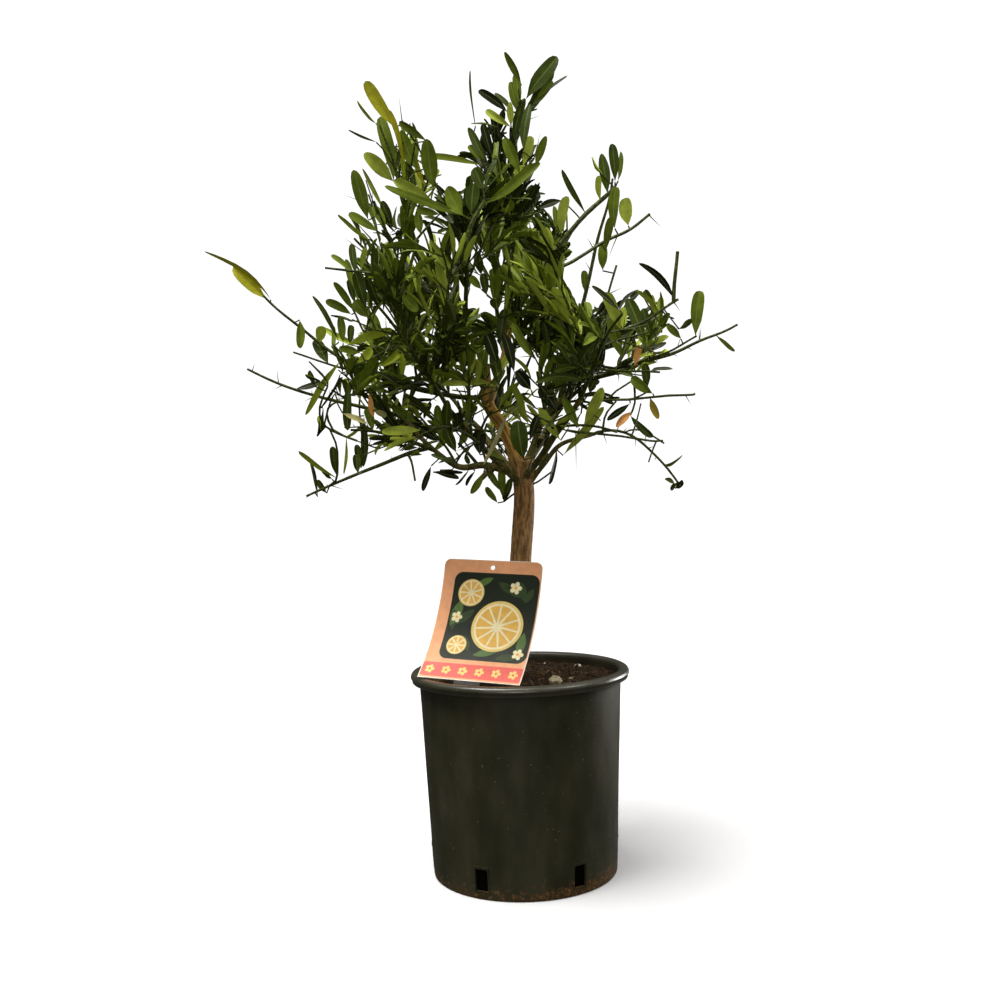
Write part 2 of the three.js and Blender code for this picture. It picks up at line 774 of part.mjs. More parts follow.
// A leaf of six faces: a point inside the twig, two edges and a ridge across the blade, and the tip.
function leafAt(place, outward, size, roll, sunk) {
  const length = LEAF.length * size;
  const halfWidth = (LEAF.width / 2) * Math.sqrt(size);
  const across = new THREE.Vector3(-outward.y, outward.x, 0).normalize().applyAxisAngle(outward, roll);
  const up = new THREE.Vector3().crossVectors(outward, across);
  const at = (along, aside, rise) =>
    place.clone().addScaledVector(outward, along).addScaledVector(across, aside).addScaledVector(up, rise);
  const widest = length * LEAF.widest;
  const root = at(-sunk, 0, 0);
  const tip = at(length, 0, 0);
  const ring = [at(widest, halfWidth, 0), at(widest, 0, LEAF.thickness), at(widest, -halfWidth, 0)];
  const faces = ring.flatMap((corner, i) => {
    const nextCorner = ring[(i + 1) % ring.length];
    return [root, nextCorner, corner, tip, corner, nextCorner];
  });
  return {
    blade: new THREE.BufferGeometry().setFromPoints(faces),
    reach: [tip, ...ring, at(length * LEAF.outerTest, 0, 0)],
    line: new THREE.Line3(at(length * LEAF.lineFrom, 0, 0), tip),
  };
}

function makeMass(mass) {
  const stems = [...mass.grown, ...growTwigs(mass)];
  const wood = stems.map((stem) => {
    const radiusAt = (t) => (t < 1 ? mix(stem.radius, TWIG.tipRadius, t) : 0);
    const steps = stem.curve.isLineCurve3 ? 1 : SHOOT.steps;
    return solidOf(limbAlong(stem.curve, radiusAt, SHOOT.sides, steps));
  });
  const blades = growLeaves(mass, stems).map((leaf) => solidOf(leaf.blade));
  const limb = LIMBS.find((l) => l.name === mass.limb);
  return geometryOf(largestBody(joined([...wood, ...blades]).subtract(limbSolid(limb, CLEARANCE))));
}

// Each limb stands clear of those before it.
function makeLimb(limb, earlier) {
  const solid = limbSolid(limb, 0);
  if (!earlier.length) return geometryOf(solid);
  const room = joined(earlier.map((other) => limbSolid(other, CLEARANCE)));
  return geometryOf(largestBody(solid.subtract(room)));
}

// Assembly
const tree = new THREE.Group();

function addMesh(name, geometry, material) {
  const mesh = new THREE.Mesh(geometry, material);
  mesh.name = name;
  tree.add(mesh);
}

for (const limb of LIMBS) {
  limb.curve = limbCurve(limb);
  limb.chain = chainOf(limb.curve, CROWN.limbPieces);
}
for (const mass of MASSES) {
  mass.grown = massShoots(mass);
  mass.chain = mass.grown.flatMap((shoot) => chainOf(shoot.curve, SHOOT.pieces));
}

addMesh("pot", makePot(), MATERIALS.pot);
addMesh("soil", makeSoil(), MATERIALS.soil);
addMesh("plant_label", geometryOf(labelSolid(0)), MATERIALS.label);
LIMBS.forEach((limb, i) => {
  addMesh(limb.name, makeLimb(limb, LIMBS.slice(0, i)), MATERIALS.bark);
});
for (const mass of MASSES) {
  addMesh(mass.name, makeMass(mass), MATERIALS.foliage);
}

export default tree;
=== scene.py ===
"""A young citrus tree in a black nursery pot, with a plant label pushed into the soil.

Lengths and tables are in millimetres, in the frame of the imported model: +Z up, the origin in the middle of
the pot's flat underside, the label facing -Y. MM turns them into Blender's metres where a mesh, a lamp or the
camera is made.
"""
import math

import bmesh
import bpy
import numpy as np
from mathutils import Euler, Matrix, Vector, noise


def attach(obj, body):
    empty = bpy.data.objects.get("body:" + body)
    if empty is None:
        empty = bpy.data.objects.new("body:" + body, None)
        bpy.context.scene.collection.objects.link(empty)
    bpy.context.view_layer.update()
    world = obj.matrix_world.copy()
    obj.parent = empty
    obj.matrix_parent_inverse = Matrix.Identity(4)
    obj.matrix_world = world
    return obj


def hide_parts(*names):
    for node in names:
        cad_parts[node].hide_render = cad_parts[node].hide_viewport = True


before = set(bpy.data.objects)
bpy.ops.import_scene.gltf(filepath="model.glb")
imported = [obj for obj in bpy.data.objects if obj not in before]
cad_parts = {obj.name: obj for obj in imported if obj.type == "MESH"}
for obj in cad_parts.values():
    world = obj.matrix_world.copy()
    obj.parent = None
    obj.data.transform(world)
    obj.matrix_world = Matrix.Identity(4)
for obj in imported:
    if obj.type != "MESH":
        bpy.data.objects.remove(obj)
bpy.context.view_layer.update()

MM = 0.001
UP = np.array([0.0, 0.0, 1.0])

# Camera and light
CAMERA = {
    "place": (-14.6, -1119.4, 393.8), "down": 1.02, "roll": -1.78, "lens": 40, "sensor": 36,
    "sees_to": 100,
}
FLOOR_SIDE = 12000
FLOOR_COLOUR = (0.52, 0.525, 0.545, 1)
FLOOR_GLOW = 0.085
SUN = {"from": (-0.33, -0.13, 1.2), "degrees": 34, "strength": 5.7, "colour": (1, 0.98, 0.94)}
LAMPS = [
    {"name": "front", "place": (-200, -1900, 500), "size": 900, "power": 8.5, "colour": (1, 0.98, 0.93)},
    {"name": "right", "place": (1300, -700, 1500), "size": 700, "power": 10, "colour": (1, 0.99, 0.95)},
    {"name": "rim", "place": (1200, 640, 300), "size": 500, "power": 13, "colour": (1, 0.98, 0.95)},
]
LAMP_AIM = (0, 0, 450)
WORLD_SEEN = 1.1
WORLD_TOP = 0.8
WORLD_SIDE = 0.07
WORLD_SPAN = (0.35, 0.85)
WORLD_COLOUR = (1, 0.97, 0.9, 1)

# Pot, soil and label, with the sizes that the solids have
POT = {
    "height": 204, "base_radius": 92.5, "wall_top_radius": 101.3, "rim_radius": 110, "rim_height": 9.5,
    "skirt_inset": 1.4, "skirt_height": 2.6, "ledge": 1, "wall": 2.5, "floor": 3, "foot": 2.5,
    "soft": 0.5, "ledge_rise": 0.35, "sole_ring": 4, "wall_rows": 34, "bead_rows": 3, "inner_rows": 16,
    "foot_steps": 6, "edge_steps": 3, "bead_steps": 12, "sides": 160,
}
RIM_FOOT = POT["height"] - POT["rim_height"]
SLOT = {
    "count": 6, "first_degrees": -27.5, "width": 13, "height": 21, "bottom": 8, "corner": 2,
    "depth": 30, "strip": 100,
}
SLOT_FRAME = {
    "gap": 0.1, "side": 1.1, "sunk": 0.6, "raised": 0.35, "lip_wider": 1.4, "lip_levels": (0.6, 3),
    "lip_corner": 0.9, "lip_raised": 0.7, "strip": 3,
}

# The faint waves of the pot's wall: their height and size, and where they fade out in height and radius
POT_WAVE = {
    "height": 0.5, "size": (26, 26, 90), "foot": (6, 30), "top": (165, 190), "inside": (60, 80),
}
SOIL = {
    "shaded_below": 150, "top": 194, "gap": 0.2, "rings": 110, "sides": 260, "mound": 1.6,
    "mound_radius": 34, "sole_ring": 0.6, "middle_ring": 100, "seed": 7,
}

# The lumps of the soil's top: their size, their height, and where their noise is cut
SOIL_RELIEF = [(13, 2.2, 1.7), (5, 1.1, 5.1), (1.9, 0.9, 8.3)]
CRUMB = {"count": 700, "size": (0.6, 2.6), "bias": 3, "fine": 1.6, "raised": 0.25, "inset": 4, "clear": 16}
FIBRE = {
    "count": 160, "length": (4, 13), "curl": (-1.2, 1.2), "radius": (0.2, 0.5), "taper": (1.05, 0.6),
    "raised": 0.5, "arch": 1.4, "inset": 10, "clear": 20, "points": 6, "sides": 5,
}
LUMP = {
    "uneven": 0.45, "scale": 1.3, "stretch": (1, 0.8, 0.7), "turns": (0.3, 0.7, 1.9),
    "seed_steps": (3.7, 1.3),
}
STONE = {"raised": 0.35, "first_seed": 40, "subdivisions": 3}

# Stones and white bits that lie on the soil: x, y, size, and 0 for a stone or 1 for a white bit
STONES = [
    (34, -40, 7, 0), (62, 51, 3.4, 1), (50, -23, 2, 0), (28, 74, 1.2, 1), (-30, 40, 2.2, 1), (-58, 8, 3, 0),
    (12, -66, 1.6, 1), (-20, 76, 2.6, 0),
]
LABEL = {
    "width": 106, "height": 130, "thickness": 0.8, "corner": 7, "hole_radius": 2, "hole_drop": 7.5,
    "stake_width": 26, "stake_tip_width": 4, "hole_points": 28, "stake_bend": 16, "stake_straight": 24,
    "foot_lean": 50, "top_lean": 10, "turn": 22, "roll": 2.4, "edge": (-51, -64, 203.5), "strip": 3,
    "step": 0.25,
}

# The label's print, in millimetres across the card from its middle and up from its lower edge. Boxes are rows
# of left, low, right, high and corner. Slices are rows of their middle, radius and segments, leaves of their
# foot, direction in degrees, length and width, and blossoms of their middle and radius.
PRINT_LAYER = 0.05
PRINT_DEPTH = 0.05
PRINT_EDGE = 0.5
PRINT_FOOT = 0.6
# How much wider than the stake and how high the dark sheet over its top reaches: painted shade on the stake
STAKE_SHADE_SHEET = {"wider": 0.3, "top": -0.2}
PRINT_LAYERS = {
    "edge": 1, "panel": 2, "leaves": 3, "slices": 4, "pith": 5, "flesh": 6, "blossoms": 7, "band": 2,
    "band_blossoms": 3,
}
PRINT_COLOURS = {
    "peach": (236, 170, 124),
    "dark": (30, 38, 26),
    "shade": (52, 70, 38),
    "leaf": (84, 112, 56),
    "coral": (226, 100, 92),
    "cream": (232, 204, 122),
    "pith": (240, 228, 184),
    "flesh": (230, 182, 88),
    # The stake's dark sheet: painted shade where the stake stands in the pot's shade
    "painted_stake_shade": (26, 19, 12),
}
PANEL = (-40, 24, 51.5, 117, 9)
PANEL_SLICES = [(14, 62, 27, 11), (-20, 96, 14, 9), (-24, 40, 10.5, 8)]
SLICE = {"pith": 0.9, "inner": 0.16, "outer": 0.82, "gap": 0.9, "turn": 11, "points": 48, "arc_points": 7}
PANEL_LEAVES = [
    (-36, 60, 75, 30, 11), (-33, 62, 40, 26, 9), (-33, 56, 96, 22, 8), (37, 90, 104, 20, 8),
    (36, 94, 152, 24, 9), (38, 88, 62, 17, 7), (-4, 30, 15, 26, 8), (20, 28, 8, 24, 8), (-10, 34, 120, 20, 8),
    (42, 32, 87, 26, 9), (2, 112, 205, 20, 7), (8, 108, 330, 22, 8),
]
PRINT_LEAF = {"points": 9, "fullness": 0.8}
PANEL_BLOSSOMS = [(27, 103, 6.5), (-31, 70, 6), (42, 34, 6)]
BLOSSOM = {"points": 60, "petals": 5, "notch": 0.5, "fullness": 0.6, "eye": 0.26, "eye_points": 14}
BAND = (-52, 2.5, 52, 19, 2)
BAND_BLOSSOMS = {"count": 6, "first": -43.5, "apart": 17.4, "up": 10.8, "radius": 5}

# Trunk and boughs
TRUNK_FLARE = 1
TRUNK_FLARE_HEIGHT = 16
COLLAR = 0.4
COLLAR_FROM = 8
COLLAR_LENGTH = 7
CUT_ROUNDNESS = 0.35
CUT_RINGS = (0.5, 0.85)
LIMB_STEP = 4
LIMB_SIDES = 24
STUB_POINTS = 7
VOXEL = 0.8
SKIN_SMOOTHING = 4

# Relief of the bark: the width and length of its streaks, their seed, and their height
BARK = {"flute": (7, 60, 3, 0.7), "ridge": (2.4, 20, 11, 0.45), "crack": (1.2, 7, 29, 0.2)}
GROOVE = {"middle": 0.5, "ridge": 0.9, "crack": 0.7}
BARK_SEED = 5
FULL_BARK_RADIUS = 10
LEAST_BARK = 0.2
YOUNG_LOSS = 0.75
BARK_SLANT = (0.7, 0.4)
STREAK_SLANT = (0.31, 0.17)
YOUNG = {"trunk": 0.0, "bough_main": 0.1, "bough_centre": 0.7}
USUAL_YOUNG = 0.95
# Where the bark turns warmer and lighter in the crown: partly its tone, partly painted light against its
# shade
WARM_AND_LIT_FROM = (404, 430)
LIMBS = {
    "trunk": {
        "radii": (11.2, 10.2),
        "points": [(-10, 0, 186), (-4, 0, 240), (2, 0, 290), (6, 0, 334), (9.6, 0, 372), (9, 0, 408)],
    },
    "bough_main": {
        "radii": (6.6, 5.2),
        "points": [(7, 0, 404), (-1, 1, 428), (-10, 1, 452), (-21, 0, 470), (-25, -1, 486), (-28, -2, 508)],
    },
    "bough_right": {"radii": (5.2, 3.2), "points": [(12, 1, 401), (23, 4, 430), (32, 6, 458), (64, 8, 488)]},
    "bough_low_left": {
        "radii": (4.2, 2.5),
        "points": [(6, -1, 399), (-28, -8, 409), (-62, -11, 412), (-112, -9, 464)],
    },
    "bough_low_right": {
        "radii": (3.1, 1.8),
        "points": [(10, -1, 384), (30, -7, 408), (50, -9, 428), (88, -5, 440)],
    },
    "bough_back_left": {"radii": (4.4, 2.8), "points": [(8, 0, 390), (-12, 30, 416), (-55, 86, 470)]},
    "bough_back_right": {"radii": (4.4, 2.8), "points": [(9, 0, 396), (24, 34, 424), (56, 88, 474)]},
    "bough_front_left": {"radii": (4, 2.6), "points": [(8, 0, 388), (-14, -28, 410), (-62, -80, 460)]},
    "bough_front_right": {"radii": (4, 2.6), "points": [(9, 0, 392), (28, -32, 418), (62, -84, 466)]},
    "bough_centre": {"radii": (4.4, 3), "points": [(-23, 0, 474), (-11, 5, 508), (0, 6, 545), (4, 4, 577)]},
    "bough_upper_left": {
        "radii": (4.2, 2.7),
        "points": [(-25, -1, 488), (-46, -6, 524), (-63, -10, 562), (-84, -14, 612)],
    },
}

# Pruned stubs: where each leaves its limb, its tip, its radius there and at the tip, and how green it is
STUBS = [
    {"foot": (-20, -6, 408), "tip": (-38, -14, 391), "radii": (3.2, 2.7), "young": 0.8},
    {"foot": (10, -1, 388), "tip": (14, -3, 411), "radii": (9.5, 7.5), "young": 0.15},
    {"foot": (-25, -1, 492), "tip": (-32, -3, 514), "radii": (4.6, 4.0), "young": 0.2},
]

# The crown as the camera sees it, in x and z on the plane y = 0: how far its leafy part reaches from a
# middle, one length for each ten degrees from +X upwards, and the gaps that show sky through it: x, z, half
# width and half height
CROWN_MIDDLE = (-3, 575)
CROWN_REACH = [
    160, 105, 108, 112, 94, 168, 124, 118, 250, 224, 184, 158, 224, 206, 198, 184, 162, 170,
    178, 192, 198, 210, 240, 214, 172, 184, 190, 195, 188, 168, 158, 164, 172, 172, 172, 176,
]
SKY_GAPS = [
    (109, 586, 17, 15), (84, 646, 22, 29), (74, 595, 18, 25), (-50, 698, 14, 15), (-178, 466, 9, 19),
    (104, 487, 12, 10), (-118, 684, 12, 13), (-38, 577, 7, 12), (-123, 559, 11, 9), (-155, 472, 6, 11),
    (137, 567, 10, 10), (102, 513, 8, 10), (-27, 451, 7, 10), (105, 445, 8, 8), (-22, 575, 8, 13),
    (32, 409, 7, 10), (-162, 581, 9, 10), (-203, 537, 6, 11), (89, 570, 7, 7), (128, 437, 8, 6),
    (22, 429, 5, 8), (118, 651, 5, 11), (-143, 418, 6, 7), (167, 521, 7, 6), (-88, 484, 7, 5),
    (34, 747, 12, 12), (-34, 737, 10, 13), (-119, 420, 13, 8), (77, 681, 10, 10), (27, 804, 8, 11),
    (-54, 726, 11, 8), (-147, 630, 7, 9), (-159, 649, 8, 10), (-88, 417, 11, 5), (-99, 504, 8, 7),
    (51, 678, 6, 8), (-178, 480, 8, 8), (62, 475, 7, 8), (86, 611, 6, 10), (36, 710, 6, 10), (-42, 584, 6, 9),
    (102, 664, 5, 9), (-13, 774, 8, 8), (55, 662, 6, 9), (-195, 513, 9, 6), (170, 555, 9, 6),
]

# Leaves that stand out, on the same plane: x and z of the tip and of the foot, width, curve to the left, tint
# A leaf's tint paints in the light and shade it shows: deep and dark are painted shade, light is painted
# light
CHOSEN_LEAVES = [
    # top
    (5, 820, 22, 788, 7, 0.1, "green"), (56, 815, 26, 774, 16, 0.04, "dark"),
    (51, 803, 27, 755, 12, 0.06, "dark"), (52, 791, 35, 767, 7, 0, "green"),
    (67, 796, 34, 765, 4, -0.1, "deep"), (8, 793, 14, 764, 9, 0, "green"), (15, 799, 21, 771, 8, 0, "green"),
    (-22, 787, 6, 764, 9, 0.1, "deep"), (-7, 784, 10, 765, 5, 0, "dark"), (-16, 766, 8, 748, 8, 0, "light"),
    (26, 768, 20, 722, 9, -0.1, "dark"), (2, 736, 16, 702, 10, 0, "green"),
    (-37, 750, -14, 713, 8, 0, "dark"), (-31, 708, -21, 687, 11, 0, "dark"),
    (-18, 750, -11, 717, 7, 0, "deep"), (-35, 730, -22, 714, 7, 0, "green"),
    (28, 738, 19, 708, 8, 0, "light"), (42, 738, 32, 707, 8, -0.1, "green"),
    (24, 776, 11, 732, 9, -0.15, "dark"), (-33, 802, -27, 749, 2, -0.35, "dark"),
    (-32, 753, -4, 748, 2, 0.1, "dark"), (-88, 720, -19, 709, 7, 0.08, "light"),
    (10, 774, 7, 749, 7, 0, "light"),
    # top left
    (-137, 798, -110, 748, 13, 0.05, "young"), (-115, 768, -97, 707, 5, 0.05, "young"),
    (-146, 779, -127, 754, 4, -0.1, "light"), (-156, 749, -127, 736, 4, 0.05, "green"),
    (-122, 761, -112, 695, 13, 0, "green"), (-141, 723, -112, 695, 14, 0, "light"),
    (-151, 707, -136, 661, 13, 0.1, "green"), (-143, 709, -119, 668, 5, 0, "light"),
    (-106, 755, -76, 736, 8, 0, "green"), (-105, 746, -86, 708, 13, -0.1, "green"),
    (-96, 730, -80, 690, 6, 0, "young"), (-75, 739, -72, 688, 15, 0, "green"),
    (-111, 699, -76, 677, 12, 0, "light"),
    # left
    (-300, 630, -239, 582, 5, 0.55, "young"), (-275, 615, -242, 584, 13, -0.12, "young"),
    (-210, 533, -212, 562, 9, 0, "green"), (-190, 556, -192, 541, 11, 0, "fresh"),
    (-195, 584, -170, 536, 4.5, 0, "dark"), (-185, 579, -160, 564, 8, 0.1, "green"),
    (-175, 623, -158, 607, 5, 0.1, "green"), (-153, 634, -152, 602, 7, 0, "dark"),
    (-140, 631, -147, 606, 5, -0.1, "light"), (-162, 620, -149, 572, 8, 0.1, "green"),
    (-152, 606, -143, 568, 9, 0, "dark"), (-168, 665, -136, 638, 4.5, 0, "light"),
    (-155, 668, -128, 649, 9, 0, "green"), (-130, 674, -120, 652, 9, 0.1, "green"),
    (-175, 596, -158, 566, 8, 0, "green"), (-160, 599, -156, 574, 7, 0, "dark"),
    (-154, 577, -141, 560, 9, 0, "green"), (-171, 532, -149, 527, 7, 0.1, "green"),
    (-123, 678, -112, 654, 9, 0, "dark"), (-39, 598, -27, 585, 7, 0, "green"),
    (-117, 548, -164, 532, 9, 0, "fresh"), (-138, 532, -153, 516, 8, 0.15, "fresh"),
    (-169, 561, -166, 535, 8, 0, "green"), (-157, 556, -163, 536, 7, 0, "dark"),
    (-197, 542, -180, 519, 12, 0.1, "dark"), (-130, 512, -91, 546, 7, 0, "fresh"),
    (-111, 504, -110, 529, 6, 0, "fresh"), (-93, 565, -108, 584, 10, 0, "green"),
    (-208, 467, -168, 519, 6.5, 0.15, "fresh"), (-190, 498, -216, 494, 5, 0.1, "deep"),
    (-204, 508, -199, 492, 5, 0, "dark"),
    # low left
    (-165, 448, -166, 496, 8, 0, "dark"), (-152, 411, -147, 462, 8, 0.06, "dark"),
    (-159, 434, -154, 410, 8, 0, "dark"), (-140, 463, -145, 487, 6, 0, "dry"),
    (-147, 455, -169, 465, 6, 0, "straw"), (-126, 464, -140, 467, 6, 0, "straw"),
    (-168, 441, -146, 455, 4, 0, "fresh"), (-171, 405, -166, 441, 3, 0.1, "fresh"),
    (-118, 452, -137, 482, 6, 0, "deep"), (-140, 459, -130, 445, 6, 0, "dark"),
    (-195, 446, -186, 453, 3, 0, "deep"), (-146, 471, -142, 447, 9, 0, "green"),
    (-67, 447, -57, 422, 10, 0, "dark"), (-160, 424, -157, 404, 8, 0, "dark"),
    (-193, 464, -190, 450, 2, 0.1, "light"), (-189, 471, -173, 506, 1.6, -0.4, "deep"),
    (-187, 451, -189, 471, 1.6, -0.3, "deep"), (-189, 454, -178, 485, 1.5, 0.4, "deep"),
    (-208, 504, -193, 497, 3, 0.2, "dark"), (-204, 517, -186, 497, 2.5, -0.3, "deep"),
    (-184, 432, -180, 403, 8, 0, "dark"), (-198, 400, -189, 386, 6, 0, "dark"),
    (-194, 410, -183, 400, 5, 0, "dark"), (-217, 428, -180, 401, 4.5, 0, "fresh"),
    (-205, 417, -198, 383, 3, 0.05, "deep"), (-194, 446, -191, 462, 4, 0, "deep"),
    (-129, 446, -89, 444, 8, 0.05, "light"), (-120, 475, -94, 456, 10, -0.1, "green"),
    (-92, 451, -72, 435, 10, 0, "deep"), (-74, 472, -68, 433, 10, 0, "green"),
    (-34, 446, -34, 420, 13, 0, "deep"), (-66, 476, -66, 441, 10, 0, "dark"),
    (-39, 451, -55, 428, 8, 0, "green"), (-44, 381, -30, 400, 7, 0, "green"),
    (-92, 385, -83, 410, 6, 0, "deep"), (-55, 397, -81, 404, 5, -0.1, "deep"),
    (-51, 403, -74, 406, 3, 0, "deep"), (-59, 390, -45, 405, 3, 0, "deep"),
    (-48, 389, -39, 404, 4, 0, "deep"), (-28, 408, -13, 382, 7, 0, "green"),
    (-12, 406, -12, 376, 8, 0, "green"), (-3, 395, -9, 372, 7, 0, "dark"), (-30, 409, -4, 470, 3, 0, "straw"),
    (4, 505, 18, 486, 10, 0, "deep"), (-29, 387, -17, 371, 6, -0.1, "green"),
    (-7, 384, -11, 371, 6, 0, "deep"),
    # middle
    (-24, 542, -13, 513, 12, 0, "deep"), (-26, 601, -21, 579, 8, 0, "dark"),
    (-90, 668, -66, 663, 8, 0, "green"), (-88, 664, -84, 640, 8, 0, "green"),
    (-4, 566, -8, 532, 10, 0, "dark"), (-6, 542, 4, 504, 10, 0.1, "deep"),
    (-17, 524, -12, 488, 11, 0, "dark"), (-119, 694, -34, 659, 7, 0, "green"),
    (-58, 689, -40, 661, 14, -0.1, "green"), (-31, 692, -32, 662, 13, 0, "dark"),
    (36, 708, -18, 668, 9, 0.05, "green"), (-76, 636, -50, 601, 6.5, 0, "light"),
    (-29, 622, -28, 596, 10, 0, "green"), (-68, 570, -86, 536, 7, 0, "light"),
    (-72, 492, -15, 488, 9, 0.25, "light"), (24, 492, 73, 488, 8, 0.45, "dark"),
    (92, 486, 71, 448, 11, 0.05, "light"), (50, 476, 67, 444, 9, -0.1, "green"),
    (25, 467, 48, 431, 10, -0.1, "light"), (94, 462, 51, 417, 8, 0, "light"),
    (5, 453, 11, 413, 16, 0.05, "dark"), (24, 458, 17, 430, 8, -0.1, "deep"),
    (29, 489, 40, 463, 14, 0, "deep"), (3, 550, 26, 513, 8, -0.1, "green"), (36, 421, 23, 403, 7, 0, "green"),
    (35, 666, 57, 670, 6, 0.1, "deep"), (35, 388, 46, 425, 4, 0, "deep"),
    # right
    (108, 726, 108, 687, 8, 0, "dark"), (116, 717, 111, 688, 5, 0, "green"),
    (97, 716, 100, 677, 9, -0.05, "dark"), (87, 714, 96, 695, 2.5, -0.1, "light"),
    (92, 695, 92, 671, 5, -0.1, "light"), (57, 702, 78, 658, 5, 0, "dark"),
    (61, 674, 54, 639, 9, -0.2, "light"), (110, 683, 112, 642, 9.5, -0.1, "green"),
    (121, 672, 125, 645, 11.5, 0, "light"), (109, 654, 101, 620, 7, -0.1, "green"),
    (94, 629, 95, 602, 9, 0, "green"), (133, 608, 166, 571, 7, 0.45, "deep"),
    (132, 581, 150, 560, 4.5, 0.5, "light"), (123, 573, 134, 580, 5, 0, "deep"),
    (193, 577, 186, 534, 13, 0, "green"), (184, 550, 170, 540, 5, 0, "dark"),
    (162, 557, 155, 543, 4, -0.15, "dark"), (228, 518, 209, 532, 4, -0.15, "light"),
    (121, 573, 138, 526, 12, 0, "dark"), (136, 563, 143, 536, 8, 0, "dark"),
    (97, 582, 111, 540, 11, 0, "light"), (82, 589, 111, 563, 5, -0.05, "deep"),
    (99, 559, 115, 512, 12, 0, "green"), (115, 566, 114, 543, 8, 0, "light"),
    (99, 572, 88, 553, 5, 0, "deep"), (78, 603, 80, 577, 7, 0, "green"), (132, 524, 126, 502, 6.5, 0, "dry"),
    (105, 442, 122, 461, 7, 0.1, "dry"), (149, 452, 144, 476, 7, 0, "tan"),
    (135, 507, 139, 483, 9, 0, "dark"), (121, 494, 145, 477, 9, -0.1, "green"),
    (96, 449, 121, 469, 7, 0, "deep"), (140, 432, 118, 456, 8, 0.1, "dark"),
    (137, 580, 147, 568, 7, 0, "dark"), (158, 545, 173, 531, 7, 0.1, "green"),
    (164, 500, 142, 500, 3.5, -0.3, "deep"), (86, 493, 80, 478, 7, 0, "dark"),
    (167, 409, 152, 405, 2.4, 0.9, "green"), (152, 390, 162, 384, 4, 0.3, "dark"),
    (170, 388, 162, 380, 6, 0.2, "deep"), (158, 378, 163, 386, 5, 0, "dark"),
    (148, 544, 160, 553, 5, 0, "green"),
]

# Twigs that stand out: radius, and x and z of points from the foot on
CHOSEN_TWIGS = [
    (1.1, (-150, 480), (-151, 470), (-153, 417)),
    (1.4, (91, 462), (102, 472), (177, 475), (187, 477)),
    (1.3, (54, 444), (62, 441), (131, 430), (150, 430)),
    (2.3, (49, 631), (78, 654), (100, 675), (108, 682)),
    (1.5, (111, 536), (143, 553), (173, 571)),
    (1.9, (168, 569), (171, 618)),
    (1.3, (81, 504), (115, 499), (151, 496)),
    (0.9, (143, 430), (136, 407)),
    (1.6, (60, 606), (100, 629), (124, 640), (146, 655)),
    (1.4, (10, 690), (22, 706), (30, 716)),
    (1.2, (-165, 440), (-177, 448), (-184, 462), (-183, 471), (-174, 477)),
    (1.2, (-170, 444), (-184, 452), (-191, 462), (-192, 474), (-186, 492)),
    (1.3, (-183, 388), (-178, 402), (-179, 430), (-184, 450)),
    (1.6, (-42, 408), (-57, 411), (-69, 434), (-92, 462)),
    (1.9, (-36, 413), (-54, 433)),
    (1.2, (98, 469), (106, 482), (124, 492)),
    (1.2, (128, 490), (126, 470), (121, 456)),
    (1.1, (108, 477), (125, 474), (141, 480)),
    (1.2, (88, 440), (94, 456), (106, 472)),
    (0.9, (117, 433), (131, 469)),
    (1.3, (-140, 506), (-174, 514), (-218, 530)),
    (1.3, (-120, 591), (-88, 635), (-69, 660)),
    (2.2, (-48, 616), (-36, 645), (-18, 674)),
    (1.2, (12, 386), (24, 391), (40, 402)),
    (1.3, (9, 384), (0, 380), (-11, 372)),
    (1.2, (-159, 606), (-182, 612)),
    (1.7, (-109, 578), (-88, 636)),
]

# Thorns that stand out: x and z of the tip and of the foot
CHOSEN_THORNS = [
    (-102, 782, -106, 756), (37, 743, 29, 731), (40, 759, 25, 753), (-256, 520, -257, 512),
    (-233, 515, -232, 500), (-162, 640, -139, 638), (-162, 686, -155, 665), (156, 641, 143, 656),
    (192, 540, 192, 526), (174, 558, 181, 548), (182, 465, 177, 475), (63, 400, 64, 441), (94, 425, 92, 438),
    (-212, 381, -196, 380), (-170, 389, -185, 386), (84, 634, 89, 626), (103, 614, 113, 637),
    (109, 488, 109, 500),
]
CHOSEN = {
    "seed": 5000, "depth_cost": 0.06, "own_bonus": 4, "widest_tilt": 6.8, "depth_spread": 0.5,
    "clear": 3, "samples": 60, "aims": 3, "spur_radius": 0.7, "spur_from": 3, "before": 3,
    "samples_from": 0.03, "taper": 0.8, "bend": 0.12, "fold": (0.1, 0.4), "twist": (-0.3, 0.3),
    "bluntness": (0.5, 1.15),
}

# Shoots of the solids that a chosen twig stands for: the mass, and the shoot's number in its table
REDRAWN = {("foliage_top", 1), ("foliage_upper_right", 1), ("foliage_upper_right", 2), ("foliage_right", 1)}
OPEN_LIMB = {"name": "bough_main", "to": 0.8, "clear": 8, "steps": 4}

